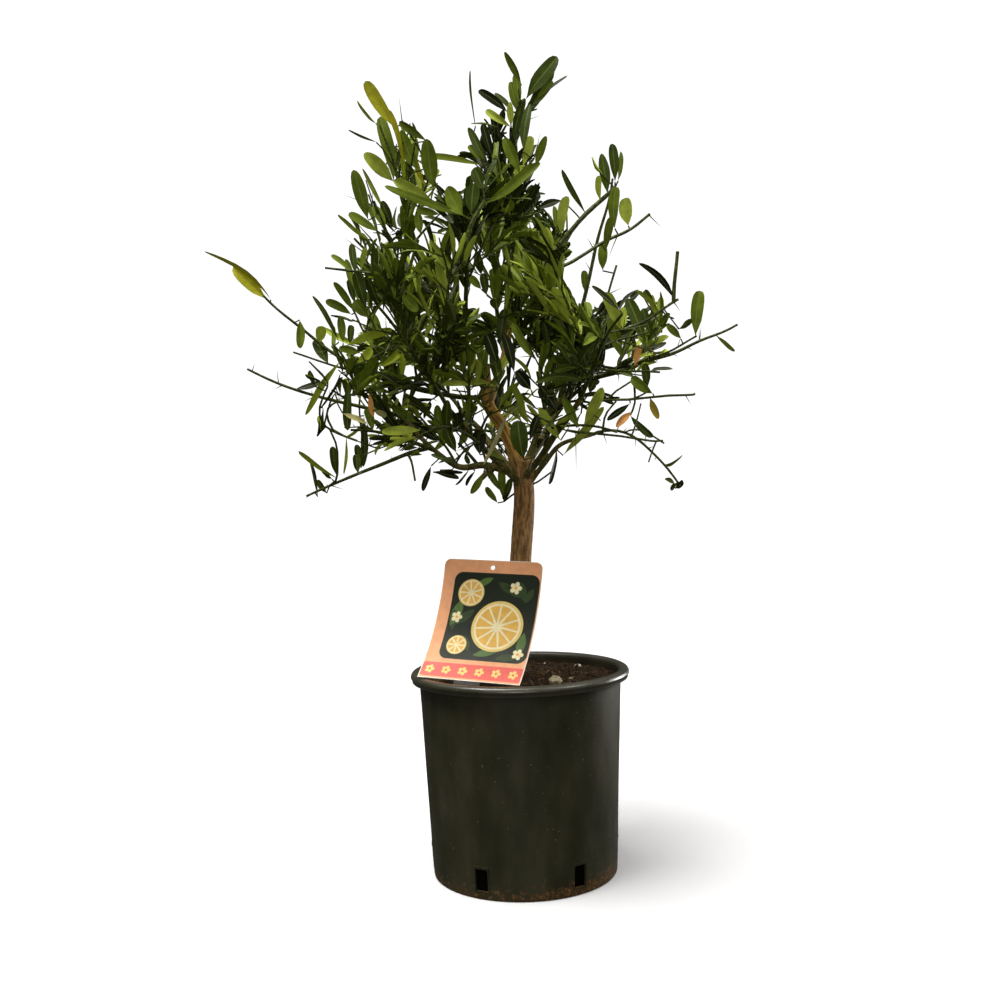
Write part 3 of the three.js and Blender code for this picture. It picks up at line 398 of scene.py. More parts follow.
# Each mass grows from a place on a limb, from 0 at its foot to 1 at its tip. Its shoots are rows of the
# place that each starts from, its tip, how far its middle rises, and the bare share of its outer end. The
# first shoot starts on the limb, and the others fork off it.
MASSES = {
    "foliage_top": ("bough_centre", [
        (1, (17, 0, 778), -4, 0), (0.3, (50, 4, 748), 4, 0), (0.25, (-30, 4, 742), 4, 0),
    ]),
    "foliage_top_left": ("bough_upper_left", [
        (1, (-122, -10, 748), 0, 0), (0.25, (-70, -8, 712), 0, 0),
    ]),
    "foliage_upper_left": ("bough_upper_left", [
        (0.62, (-150, -2, 640), -6, 0), (0.4, (-126, -38, 668), 0, 0),
    ]),
    "foliage_left": ("bough_main", [
        (0.72, (-247, 2, 586), -28, 0.45), (0.42, (-172, 14, 596), -4, 0), (0.3, (-118, 24, 584), 4, 0),
    ]),
    "foliage_low_left": ("bough_low_left", [
        (1, (-262, -8, 512), -6, 0.6), (0.3, (-172, -60, 484), 2, 0),
    ]),
    "foliage_hanging": ("bough_low_left", [
        (0.8, (-206, -20, 384), 2, 0.1), (0.2, (-96, -46, 396), 6, 0),
    ]),
    "foliage_right": ("bough_right", [
        (1, (232, 2, 544), -4, 0.5), (0.3, (190, 30, 478), 6, 0.5), (0.35, (182, -34, 528), 0, 0.4),
    ]),
    "foliage_low_right": ("bough_low_right", [
        (1, (167, -4, 382), 17, 0.4), (0.3, (146, -46, 424), 6, 0.3),
    ]),
    "foliage_upper_right": ("bough_right", [
        (0.84, (106, -10, 690), -8, 0), (0.42, (170, 8, 606), -8, 0.4), (0.55, (147, 4, 656), -2, 0.6),
    ]),
    "foliage_centre_right": ("bough_centre", [
        (0.7, (78, 34, 660), 6, 0), (0.4, (60, -46, 632), 4, 0),
    ]),
    "foliage_front_left": ("bough_front_left", [
        (1, (-112, -190, 540), 6, 0), (0.3, (-46, -176, 592), -4, 0), (0.35, (-128, -126, 600), -4, 0),
    ]),
    "foliage_front_right": ("bough_front_right", [
        (1, (92, -186, 532), 6, 0), (0.3, (34, -178, 590), -4, 0), (0.35, (96, -118, 584), -4, 0),
    ]),
    "foliage_back_left": ("bough_back_left", [
        (1, (-120, 192, 552), 6, 0), (0.3, (-42, 182, 620), -4, 0), (0.35, (-140, 112, 596), -4, 0),
    ]),
    "foliage_back_right": ("bough_back_right", [
        (1, (112, 194, 548), 6, 0), (0.3, (34, 188, 616), -4, 0), (0.35, (132, 110, 584), -4, 0),
    ]),
    "foliage_front_top": ("bough_upper_left", [
        (0.35, (-34, -104, 668), -8, 0), (0.45, (8, -80, 680), 0, 0),
    ]),
    "foliage_back_top": ("bough_centre", [
        (0.45, (-20, 112, 684), -8, 0), (0.45, (44, 96, 660), 0, 0),
    ]),
    "foliage_low_back": ("bough_back_left", [
        (0.6, (-30, 190, 452), 16, 0), (0.25, (-124, 116, 440), 8, 0),
    ]),
    "foliage_inner_left": ("bough_low_left", [
        (0.78, (-160, -40, 448), 4, 0), (0.3, (-118, -76, 428), 4, 0), (0.3, (-136, 24, 484), 2, 0),
    ]),
    "foliage_inner_right": ("bough_right", [
        (0.6, (112, -50, 506), 2, 0), (0.25, (76, -72, 462), 2, 0), (0.35, (58, -50, 544), 0, 0),
    ]),
    "foliage_heart": ("bough_centre", [
        (0.3, (34, -62, 588), -4, 0), (0.25, (-14, -88, 560), -2, 0), (0.3, (38, -84, 520), 2, 0),
    ]),
    "foliage_heart_left": ("bough_upper_left", [
        (0.2, (-112, -60, 548), -6, 0), (0.3, (-66, -98, 520), -2, 0), (0.35, (-72, -66, 602), -2, 0),
    ]),
    "foliage_low_front": ("bough_front_right", [
        (0.55, (34, -150, 440), 14, 0), (0.3, (92, -106, 434), 6, 0), (0.25, (22, -112, 492), 2, 0),
    ]),
    "foliage_low_front_left": ("bough_front_left", [
        (0.6, (-74, -140, 440), 10, 0), (0.25, (-20, -118, 456), 4, 0), (0.2, (-24, -66, 396), 4, 0),
        (0.35, (-40, -128, 500), 0, 0),
    ]),
}

# Growth: the rule of the solids, carried on to finer twigs, life-size leaves and thorns
CROWN = {"lowest": 374, "cell_margin": 0.6, "limb_margin": 1, "limb_pieces": 8, "first_seed": 101}
SHOOT = {
    "pieces": 6, "foot_radius": 2.8, "limb_share": 0.8, "fork_share": 0.7, "tip_radius": 1.1,
    "fork_tip_radius": 0.99,
}
TWIG = {
    "spacing": 38, "from": 0.12, "to": 0.92, "turn_spread": 0.6, "open": 48, "open_spread": 24,
    "length": 72, "length_at_foot": 1.1, "length_at_tip": 0.35, "shortest": 0.7, "longest": 1.2,
    "lift": 0.12, "shortened": (1, 0.65, 0.4), "tested_at": (0.3, 0.5, 0.75, 1), "radius": 1.5,
    "foot_share": 0.5, "solid_tip_radius": 0.5, "tip_radius": 0.8,
}
TWIGLET = {
    "seeds": 2000, "spacing": 22, "from": 0.2, "to": 0.85, "turn": math.pi / 3, "open": 38,
    "open_spread": 24, "length": 46, "length_at_tip": 0.6, "shortest": 0.5, "longest": 1.1,
    "radius": 0.85, "tip_radius": 0.6,
}
LEAF = {
    "seeds": 1000, "spacing": 7, "from_on_shoot": 0.3, "from_on_twig": 0.12, "to": 0.98, "length": 38,
    "width": 6.7, "thickness": 0.5, "smallest": 0.55, "largest": 1.2, "narrowest": 0.65,
    "broadest": 1.3, "wave": 0.12, "waves": 7, "bare_chance": 0.12, "open": 34, "open_spread": 30,
    "tip_open": 10, "roll_spread": 2.6, "lift": 0.5, "apart": 1.8, "shortened": (1, 0.9, 0.8),
    "tested_at": (0.25, 0.45, 0.65, 0.85, 1),
}
MOST_LEAVES = 4000

# The ranges of a leaf's bend, fold, twist, sideways sweep, bluntness and the start of its waves
LEAF_FORM = ((-0.25, 0.9), (0.12, 0.62), (-0.6, 0.6), (-0.14, 0.14), (0.25, 1.15), (0, 2 * math.pi))

# Half widths of a blade that is pointed and of one that is blunt, and the points round it at each station
STATIONS = np.array([0.08, 0.18, 0.32, 0.47, 0.62, 0.76, 0.88, 0.96])
POINTED = np.array([0.14, 0.46, 0.82, 1.0, 0.94, 0.7, 0.4, 0.15])
BLUNT = np.array([0.16, 0.44, 0.78, 0.94, 1.0, 0.98, 0.84, 0.55])
PETIOLE_HALF = 0.55
ACROSS = np.array([-1, -0.5, -0.09, 0.09, 0.5, 1, 0.5, 0.09, -0.09, -0.5])
UNDER = np.array([0, 0, 0, 0, 0, 0, 1, 1.4, 1.4, 1])
UPPER, UNDERSIDE, RIB = 0, 1, 2
BLADE_SIDES = [UPPER, UPPER, RIB, UPPER, UPPER, UNDERSIDE, UNDERSIDE, RIB, UNDERSIDE, UNDERSIDE]

# The leaves' tints, and the share of each that is dealt out by spray in a mass
# Deep and dark are shaded copies of the green leaf, painted shade; light is a lit copy, painted light
# Fresh and young are yellower young leaves, partly lightened by painted light shining through them
TINTS = {
    "deep": (22, 30, 3),
    "dark": (52, 66, 8),
    "green": (92, 108, 22),
    "light": (150, 163, 56),
    "fresh": (146, 160, 40),
    "dry": (200, 142, 78),
    "young": (158, 156, 28),
    "tan": (140, 122, 34),
    "straw": (158, 152, 98),
}
LIT_TINTS = ("light", "fresh", "young")
TINT_SHARES = {
    "foliage_top": (0.5, 0.35, 0.15),
    "foliage_top_left": (0.1, 0.25, 0.3, 0.2, 0.15),
    "foliage_left": (0.05, 0.15, 0.4, 0.27, 0.13),
    "foliage_low_left": (0.1, 0.2, 0.38, 0.25, 0.07),
    "foliage_right": (0.1, 0.2, 0.4, 0.25, 0.05),
    "foliage_low_right": (0.1, 0.2, 0.4, 0.25, 0.05),
}
USUAL_SHARES = (0.24, 0.32, 0.3, 0.12, 0.02)
TINT_SEEDS = 4000
STEM_STEP = 8
STEM_SIDES = {0: 8, 1: 6, 2: 5}
NODE_SWELLING = 0.06
THORN = {
    "seeds": 3000, "spacing": 14, "chance": 0.65, "share": 0.85, "from": 0.12, "to": 0.97,
    "shortest": 4, "longest": 18, "bias": 1.6, "open": 66, "lift": 0.25, "radii": (0.6, 0.36, 0.048),
    "sides": 5,
}
SWAY = {
    "reach": 2.4, "wave": 46, "from": 396, "full": 440, "turns": (0.3, 1.9, 4.1),
    "waves": ((1, 0.6), (1.9, 0.4)), "rise": 0.9,
}
GOLDEN_ANGLE = math.radians(137.5)

# Plain materials: the size of their mottle, the range of their roughness, the depth and size of their relief,
# and their specular level
SURFACES = {
    "twig": (2.6, (0.5, 0.66), 0.1, 0.8, 0.12),
    "thorn": (4, (0.4, 0.55), 0.05, 0.8, 0.35),
    "soil_bed": (4, (0.85, 0.98), 0.6, 1.1, 0.15),
    # The near-black soil below the shaded level is painted shade for the pot's dark inside
    "soil_painted_shade": (4, (0.9, 0.98), 0.6, 4 / 3, 0.05),
    "fibre_pale": (3, (0.7, 0.9), 0.1, 1, 0.5),
    "fibre_dark": (3, (0.7, 0.9), 0.1, 1, 0.5),
    "stone": (3, (0.7, 0.9), 0.4, 1, 0.5),
    "perlite": (2, (0.8, 0.95), 0.3, 2 / 3, 0.5),
}
CRUMB_SHADES = {"crumb_dark": 1, "crumb_brown": 1.8, "crumb_light": 3}

# Sides of a leaf: the colour that its own is mixed with and the share of it, its stops as places and shades,
# and the size of its mottle, its roughness, the depth and size of its relief and its specular level
LEAF_SIDES = {
    "upper": ((0, 0, 0), 0, ((0.3, 0.72), (0.55, 1), (0.75, 1.3)), (9, (0.46, 0.58), 0.05, 2.4, 0.1)),
    "under": ((92, 104, 44), 0.15, ((0.3, 0.85), (0.7, 1.12)), (9, (0.6, 0.72), 0.03, 2.4, 0.06)),
    "rib": ((140, 148, 64), 0.25, ((0.3, 0.85), (0.7, 1.1)), (5, (0.45, 0.55), 0.05, 1, 0.2)),
}
CARD_SHADES = ((0.35, 0.93), (0.5, 1), (0.65, 1.05))
CARD_LOOK = (6, (0.42, 0.52), 0.03, 3, 0.2)
CARD_WHITE = (250, 246, 236)

# The plastic's range of roughness and its specular level
PLASTIC = {"pot": ((0.4, 0.5), 0.22), "pot_rim": ((0.28, 0.4), 0.7), "slot_frame": ((0.4, 0.5), 0.22)}
ROUGHNESS_SCALE = 1.7
BARK_SPECULAR = 0.25
BARK_RELIEF = 0.25
POT_RELIEF = 0.05
FLOOR_ROUGHNESS = 0.9

# The materials' colours: stops of a place from 0 to 1 along a noise or a groove, and red, green and blue
# from 0 to 255
STOPS = {
    "twig": [(0.3, 30, 36, 10), (0.5, 52, 60, 16), (0.7, 86, 94, 34)],
    "thorn": [(0.3, 60, 72, 26), (0.55, 86, 92, 40), (0.8, 124, 112, 62)],
    "soil_bed": [(0.3, 24, 17, 9), (0.55, 48, 35, 20), (0.8, 92, 68, 44)],
    # The soil below the shaded level is near black: painted shade for the pot's dark inside, seen through the
    # slots
    "soil_painted_shade": [(0.3, 7, 5, 3), (0.7, 15, 11, 7)],
    "fibre_pale": [(0.3, 84, 60, 36), (0.6, 122, 96, 64), (0.8, 160, 136, 98)],
    "fibre_dark": [(0.3, 44, 30, 18), (0.6, 74, 54, 34), (0.8, 104, 80, 54)],
    "stone": [(0.3, 120, 108, 84), (0.5, 156, 144, 116), (0.7, 190, 180, 152)],
    "perlite": [(0.3, 190, 184, 168), (0.6, 226, 222, 208), (0.8, 240, 238, 228)],
    "bark_pale": [(0.2, 164, 126, 76), (0.5, 142, 106, 60), (0.8, 114, 85, 49)],
    "bark_dark": [(0.2, 146, 108, 62), (0.5, 120, 88, 49), (0.8, 92, 67, 39)],
    # Warmer, lighter bark in the crown: partly the limbs' tone, partly painted light
    "bark_warm_and_lit": [(0.2, 192, 148, 70), (0.5, 172, 130, 54), (0.8, 126, 92, 38)],
    "bark_green": [(0.2, 54, 58, 16), (0.6, 74, 72, 24), (0.9, 98, 86, 38)],
    "plastic": [(0.34, 37, 37, 23), (0.5, 46, 45, 30), (0.66, 55, 53, 38)],
    "dried_soil": [(0.3, 48, 36, 20), (0.55, 78, 58, 34), (0.72, 122, 98, 62)],
}
LENTICEL_COLOUR = (160, 136, 98)
SPECK_COLOUR = (96, 92, 78)

# Noises: the size of their grains, the grains' stretch on each axis, and their detail
GRAINS = {
    "bark_patches": (7, (1, 1, 3), 4),
    "bark_lenticels": (1.6, (1, 1, 0.7), 1),
    "bark_roughness": (4, (1, 1, 1), 4),
    "bark_relief": (0.9, (1, 1, 3), 4),
    "pot_mottle": (24, (1, 1, 2.4), 8),
    "pot_dirt": (5, (1, 1, 1), 8),
    "pot_dried_soil": (2.5, (1, 1, 1), 8),
    "pot_specks": (1.9, (1, 1, 1.3), 0),
    "pot_roughness": (14, (1, 1, 2), 8),
    "pot_relief": (1.2, (1, 1, 1), 4),
}

# Ranges over which a value is spread, and the values that their ends stand for
SPREADS = {
    "bark_patches": (0, 1, 0.35, 0.65),
    "bark_lenticels": (0, 1, 0.68, 0.72),
    "bark_roughness": (0.7, 0.9, 0.35, 0.65),
    "dirt_low_down": (1, 0, 0.001, 0.03),
    "dirt_rightwards": (0.85, 1.3, -0.05, 0.08),
    "dirt": (0, 1, 0.3, 0.5),
    "pot_specks": (0, 1, 0.82, 0.84),
}

# The places of the share and the two colours among the inputs of a colour mix
MIX_SOCKETS = (0, 6, 7)

# The detail that a noise has, and the span of its values that is spread, where a table gives no other
USUAL_DETAIL = 4
NOISE_SPAN = (0.35, 0.65)

# The widest angle in degrees between faces that are shaded as one
USUAL_SMOOTH, POT_SMOOTH, LITTER_SMOOTH, CARD_SMOOTH, PRINT_SMOOTH, ALL_SMOOTH = 60, 40, 50, 40, 30, 180

# Numbers that only keep the work exact or quick
CORNER_POINTS = 7
CURVE_SAMPLES = 201
TANGENT_STEP = 1e-4
LEAST_BEND = 1e-3
TINY = 1e-6
NUDGE = 1e-9
SAME_PLACE = 1e-4
UPRIGHT = 0.9
POINTS_AT_ONCE = 4000


def rgb(red, green, blue):
    """An sRGB colour, from 0 to 255 each, as the linear colour that a shader takes."""
    shares = [value / 255 for value in (red, green, blue)]
    return tuple(s / 12.92 if s <= 0.04045 else ((s + 0.055) / 1.055) ** 2.4 for s in shares)


def mix(a, b, t):
    return a + (b - a) * t


def smooth_step(low, high, value):
    share = np.clip((value - low) / (high - low), 0, 1)
    return share * share * (3 - 2 * share)


def unit(v):
    return v / np.linalg.norm(v)


def turned(v, axis, angle):
    """A vector turned about a unit axis."""
    along = axis * (axis @ v)
    return along + (v - along) * math.cos(angle) + np.cross(axis, v) * math.sin(angle)


def random_stream(seed):
    """A repeatable stream of numbers from 0 to 1, the same one as the solids have."""
    mask = 0xFFFFFFFF
    state = seed

    def draw():
        nonlocal state
        state = (state + 0x6D2B79F5) & mask
        t = ((state ^ (state >> 15)) * (1 | state)) & mask
        t = ((t + (((t ^ (t >> 7)) * (61 | t)) & mask)) & mask) ^ t
        return (t ^ (t >> 14)) / 4294967296

    return draw


# Materials
def new_material(name, specular):
    """A material with nodes, its node tree and the inputs of its shader."""
    made = bpy.data.materials.new(name)
    made.use_nodes = True
    inputs = made.node_tree.nodes["Principled BSDF"].inputs
    inputs["Specular IOR Level"].default_value = specular
    return made, made.node_tree, inputs


def add_node(tree, kind, inputs=None, **settings):
    """A new shader node. Its inputs take numbers, or sockets to link from."""
    made = tree.nodes.new(kind)
    for key, value in settings.items():
        setattr(made, key, value)
    for key, value in (inputs or {}).items():
        if isinstance(value, bpy.types.NodeSocket):
            tree.links.new(value, made.inputs[key])
        else:
            made.inputs[key].default_value = value
    return made


def grain(tree, size, stretch=(1, 1, 1), detail=USUAL_DETAIL):
    """Noise in the object's own space, its grains' size in millimetres, times the stretch on each axis."""
    place = add_node(tree, "ShaderNodeTexCoord").outputs["Object"]
    scale = [1 / (size * MM * s) for s in stretch]
    mapped = add_node(tree, "ShaderNodeMapping", {"Vector": place, "Scale": scale}).outputs["Vector"]
    inputs = {"Vector": mapped, "Scale": 1, "Detail": detail}
    return add_node(tree, "ShaderNodeTexNoise", inputs).outputs["Fac"]


def ramp(tree, value, stops):
    """Colours dealt along a value: each stop is a place from 0 to 1 and a colour."""
    made = add_node(tree, "ShaderNodeValToRGB", {"Fac": value})
    elements = made.color_ramp.elements
    elements[0].position = stops[0][0]
    elements[1].position = stops[-1][0]
    for place, _ in stops[1:-1]:
        elements.new(place)
    for element, (_, colour) in zip(elements, stops):
        element.color = (*colour, 1)
    return made.outputs["Color"]


def spread(tree, value, low, high, frm=NOISE_SPAN[0], to=NOISE_SPAN[1]):
    """A noise value spread over a range."""
    inputs = {"Value": value, "From Min": frm, "From Max": to, "To Min": low, "To Max": high}
    return add_node(tree, "ShaderNodeMapRange", inputs).outputs["Result"]


def blended(tree, share, first, second):
    """The first colour where the share is 0, the second where it is 1."""
    made = add_node(tree, "ShaderNodeMix", data_type="RGBA")
    inputs = [made.inputs[number] for number in MIX_SOCKETS]
    for socket, value in zip(inputs, (share, first, second)):
        if isinstance(value, bpy.types.NodeSocket):
            tree.links.new(value, socket)
        else:
            socket.default_value = (*value, 1)
    return made.outputs[2]


def product(tree, first, second):
    return add_node(tree, "ShaderNodeMath", {0: first, 1: second}, operation="MULTIPLY").outputs[0]


def attribute(tree, name):
    return add_node(tree, "ShaderNodeAttribute", attribute_name=name).outputs["Fac"]


def fit_shader(tree, inputs, colour, roughness, relief, depth):
    """Links colour, roughness and relief to a shader, the relief with its depth in millimetres."""
    bump = add_node(tree, "ShaderNodeBump", {"Height": relief, "Distance": depth * MM, "Strength": 1})
    tree.links.new(colour, inputs["Base Color"])
    tree.links.new(roughness, inputs["Roughness"])
    tree.links.new(bump.outputs["Normal"], inputs["Normal"])


def surface(name, stops, size, roughness, depth, relief_size, specular):
    """A material whose colour, roughness and fine relief come from noise."""
    made, tree, inputs = new_material(name, specular)
    colour = ramp(tree, grain(tree, size), stops)
    rough = spread(tree, grain(tree, ROUGHNESS_SCALE * size), *roughness)
    fit_shader(tree, inputs, colour, rough, grain(tree, relief_size), depth)
    return made


def shaded(colour, change):
    """A colour made darker or lighter by a share of itself."""
    return tuple(min(value * change, 1) for value in colour)


def colour_stops(rows, change=1):
    """The stops of a ramp, from rows of a place and red, green and blue."""
    return [(place, shaded(rgb(*colour), change)) for place, *colour in rows]


def shade_stops(colour, shades):
    """The stops of a ramp in shades of one colour."""
    return [(place, shaded(colour, change)) for place, change in shades]


def plain_material(kind, name=None, change=1):
    """A material by its rows in the tables, under another name and darker or lighter where that is asked."""
    return surface(name or kind, colour_stops(STOPS[kind], change), *SURFACES[kind])


def leaf_materials(name, colour):
    """The upper side, the paler and duller underside, and the light midrib of leaves of one tint."""
    made = []
    for side, (other, share, shades, look) in LEAF_SIDES.items():
        own = tuple(mix(value, target, share) for value, target in zip(colour, rgb(*other)))
        made.append(surface(name + "_" + side, shade_stops(own, shades), *look))
    return made


# Meshes
def link(made):
    bpy.context.scene.collection.objects.link(made)
    return made


class Batch:
    """Points, faces and material numbers gathered for one mesh."""

    def __init__(self):
        self.points = []
        self.faces = []
        self.numbers = []
        self.count = 0

    def add(self, points, faces, numbers=None):
        self.points.append(np.asarray(points, float))
        self.faces.extend([[corner + self.count for corner in face] for face in faces])
        self.numbers.extend(numbers if numbers is not None else [0] * len(faces))
        self.count += len(points)

    def made(self, name):
        """An object with the gathered mesh."""
        mesh = bpy.data.meshes.new(name)
        mesh.from_pydata((np.concatenate(self.points) * MM).tolist(), [], self.faces)
        mesh.polygons.foreach_set("material_index", self.numbers)
        return link(bpy.data.objects.new(name, mesh))


def make_piece(name, batch, materials, replaced=(), smooth_degrees=USUAL_SMOOTH):
    """A mesh piece with its materials, which rides on the one body and hides the parts that it replaces."""
    return dress(batch.made(name), materials, replaced, smooth_degrees)


def dress(piece, materials, replaced=(), smooth_degrees=USUAL_SMOOTH):
    """Gives a piece its materials, smooth faces and body, and hides the parts that it stands for."""
    for material in materials:
        piece.data.materials.append(material)
    piece.data.polygons.foreach_set("use_smooth", [True] * len(piece.data.polygons))
    piece.data.set_sharp_from_angle(angle=math.radians(smooth_degrees))
    piece.data.update()
    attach(piece, "root")
    if replaced:
        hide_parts(*replaced)
    return piece


def finished_mesh(made):
    """The mesh of an object with its modifiers applied."""
    return bpy.data.meshes.new_from_object(made.evaluated_get(bpy.context.evaluated_depsgraph_get()))


def turns(count):
    """The angles of evenly spaced points round a full turn."""
    return np.arange(count) * 2 * math.pi / count


def ring(across, up, reach, angles):
    """The points at a reach and at angles round a middle."""
    return np.column_stack([across + reach * np.cos(angles), up + reach * np.sin(angles)])


def bands(rows, sides, closed_ends=True):
    """The faces of a tube of rings that all have as many points, the ends closed by one face each."""
    faces = []
    for row in range(rows - 1):
        for side in range(sides):
            after = (side + 1) % sides
            low = row * sides
            faces.append([low + side, low + after, low + sides + after, low + sides + side])
    if closed_ends:
        faces.append(list(range(sides - 1, -1, -1)))
        faces.append(list(range((rows - 1) * sides, rows * sides)))
    return faces


def tube(centres, radii, sides):
    """The rings of a tube along a line of centres, carried along without twist."""
    along = np.gradient(centres, axis=0)
    along /= np.linalg.norm(along, axis=1)[:, None]
    side = np.cross(along[0], UP if abs(along[0][2]) < UPRIGHT else np.array([1.0, 0, 0]))
    angles = turns(sides)
    rings = []
    for centre, ahead, radius in zip(centres, along, radii):
        side = unit(side - ahead * (side @ ahead))
        other = np.cross(ahead, side)
        rings.append(centre + radius * (np.outer(np.cos(angles), side) + np.outer(np.sin(angles), other)))
    return np.array(rings)


# Curves
class Curve:
    """A curve in space, given by a function from an array of numbers from 0 to 1 to an array of points."""

    def __init__(self, places):
        self.places = places
        samples = places(np.linspace(0, 1, CURVE_SAMPLES))
        self.length = np.linalg.norm(np.diff(samples, axis=0), axis=1).sum()

    def place(self, t):
        return self.places(np.array([float(t)]))[0]

    def tangent(self, t):
        low, high = max(t - TANGENT_STEP, 0), min(t + TANGENT_STEP, 1)
        return unit(self.place(high) - self.place(low))

    def pieces(self, count):
        points = self.places(np.linspace(0, 1, count + 1))
        return np.stack([points[:-1], points[1:]], axis=1)


def curve_through(points):
    """A Catmull-Rom curve through points that are evenly spaced in its own measure."""
    points = np.array(points, float)
    padded = np.array([2 * points[0] - points[1], *points, 2 * points[-1] - points[-2]])

    def places(t):
        scaled = t * (len(points) - 1)
        index = np.minimum(scaled.astype(int), len(points) - 2)
        w = (scaled - index)[:, None]
        before, start, end, after = (padded[index + k] for k in range(4))
        leave = (end - before) / 2
        arrive = (after - start) / 2
        square = 3 * (end - start) - 2 * leave - arrive
        cube = 2 * (start - end) + leave + arrive
        return start + w * leave + w**2 * square + w**3 * cube

    return Curve(places)


def quadratic(start, control, end, t):
    """The points of a quadratic arc at numbers from 0 to 1."""
    t = t[:, None]
    return (1 - t) ** 2 * start + 2 * (1 - t) * t * control + t**2 * end


def arc(start, tip, rise):
    """A curve from start to tip whose middle is lifted by the rise."""
    start, tip = np.array(start, float), np.array(tip, float)
    middle = (start + tip) / 2 + 2 * rise * UP
    return Curve(lambda t: quadratic(start, middle, tip, t))


def straight(start, tip):
    return Curve(lambda t: start + t[:, None] * (tip - start))


def distances(points, pieces):
    """The distance from each point to each straight piece."""
    foot = pieces[:, 0]
    along = pieces[:, 1] - foot
    offset = points[:, None] - foot
    share = (offset * along).sum(2) / (along**2).sum(1)
    return np.linalg.norm(offset - np.clip(share, 0, 1)[..., None] * along, axis=2)


# Growth
class Stem:
    """A shoot, twig or twiglet: its curve, its radius at foot and tip, and its outer end's bare share."""

    def __init__(self, curve, radius, tip_radius, bare=0.0, rank=0, tint="green"):
        self.tint = tint
        self.is_drawn = True
        self.curve = curve
        self.radius = radius
        self.tip_radius = tip_radius
        self.bare = bare
        self.rank = rank

    def radius_at(self, t):
        return mix(self.radius, self.tip_radius, t)


class Mass:
    """One mass of foliage: its shoots by the table, and its own stream of numbers."""

    def __init__(self, index, name, limb_name, rows):
        self.index = index
        self.name = name
        self.seed = CROWN["first_seed"] + index
        limb = limbs[limb_name]
        first = rows[0]
        stem = arc(limb["curve"].place(first[0]), first[1], first[2])
        stem_radius = min(limb_radius(limb_name, first[0]) * SHOOT["limb_share"], SHOOT["foot_radius"])
        self.shoots = [Stem(stem, stem_radius, SHOOT["tip_radius"], first[3])]
        for start, tip, rise, bare in rows[1:]:
            radius = SHOOT["fork_share"] * mix(stem_radius, TWIG["solid_tip_radius"], start)
            fork = arc(stem.place(start), tip, rise)
            self.shoots.append(Stem(fork, radius, SHOOT["fork_tip_radius"], bare))
        for number, shoot in enumerate(self.shoots):
            shoot.is_drawn = (name, number) not in REDRAWN
        self.pieces = np.concatenate([shoot.curve.pieces(SHOOT["pieces"]) for shoot in self.shoots])


def limb_radius(name, t):
    """A limb's radius at t, with the trunk's root flare."""
    limb = limbs[name]
    radius = mix(limb["radii"][0], limb["radii"][1], t)
    if name != "trunk":
        return radius
    height = max(limb["curve"].place(t)[2] - SOIL["top"], 0)
    return radius + TRUNK_FLARE * math.exp(-height / TRUNK_FLARE_HEIGHT)


limbs = {name: {**limb, "curve": curve_through(limb["points"])} for name, limb in LIMBS.items()}
masses = [Mass(index, name, *row) for index, (name, row) in enumerate(MASSES.items())]
limb_pieces = np.concatenate([limb["curve"].pieces(CROWN["limb_pieces"]) for limb in limbs.values()])
limb_reach = np.repeat([max(limb["radii"]) for limb in limbs.values()], CROWN["limb_pieces"])
mass_pieces = np.concatenate([mass.pieces for mass in masses])
mass_starts = np.cumsum([0] + [len(mass.pieces) for mass in masses[:-1]])


def is_free(mass, points, radius):
    """Tells whether points stay in their mass's own space, over the lowest level and clear of the limbs."""
    if points[:, 2].min() < CROWN["lowest"] + radius:
        return False
    by_mass = np.minimum.reduceat(distances(points, mass_pieces), mass_starts, axis=1)
    own = by_mass[:, mass.index] + 2 * (radius + CROWN["cell_margin"])
    others = np.delete(by_mass, mass.index, axis=1).min(axis=1)
    if (others <= own).any():
        return False
    return (distances(points, limb_pieces) > limb_reach + radius + CROWN["limb_margin"]).all()


def outward_from(curve, t, opened, turn):
    """The direction that leaves a curve at t, opened by an angle, in a turn round it."""
    along = curve.tangent(t)
    side = np.array([-along[1], along[0], 0])
    side = np.array([1.0, 0, 0]) if side @ side < TINY else unit(side)
    return along * math.cos(opened) + turned(side, along, turn) * math.sin(opened)


def grow_twigs(mass):
    """The side twigs of a mass's shoots, by the rule of the solids, where none of them crosses open sky."""
    draw = random_stream(mass.seed)
    twigs = []
    for shoot in mass.shoots:
        count = int(shoot.curve.length * (1 - shoot.bare) / TWIG["spacing"] + 0.5)
        first_turn = draw() * 2 * math.pi
        for i in range(count):
            t = mix(TWIG["from"], TWIG["to"] - shoot.bare, (i + 0.5) / count)
            turn = first_turn + i * GOLDEN_ANGLE + (draw() - 0.5) * TWIG["turn_spread"]
            opened = math.radians(TWIG["open"] + (draw() - 0.5) * TWIG["open_spread"])
            share = mix(TWIG["length_at_foot"], TWIG["length_at_tip"], t)
            reach = TWIG["length"] * share * mix(TWIG["shortest"], TWIG["longest"], draw())
            foot_radius = mix(shoot.radius, TWIG["solid_tip_radius"], t)
            radius = min(TWIG["radius"], TWIG["foot_share"] * foot_radius)
            twig = free_twig(mass, shoot.curve, t, opened, turn, reach)
            if twig and shoot.is_drawn:
                twigs.append(Stem(twig, max(radius, TWIG["tip_radius"]), TWIG["tip_radius"], rank=1))
    return [twig for twig in twigs if is_leafy(outer_part(twig))]


def free_twig(mass, curve, t, opened, turn, reach):
    """The longest of a twig's lengths whose outer part stays free, or None."""
    start = curve.place(t)
    outward = outward_from(curve, t, opened, turn) + TWIG["lift"] * UP
    for part in TWIG["shortened"]:
        twig = straight(start, start + part * reach * outward)
        if is_free(mass, twig.places(np.array(TWIG["tested_at"])), TWIG["radius"]):
            return twig
    return None


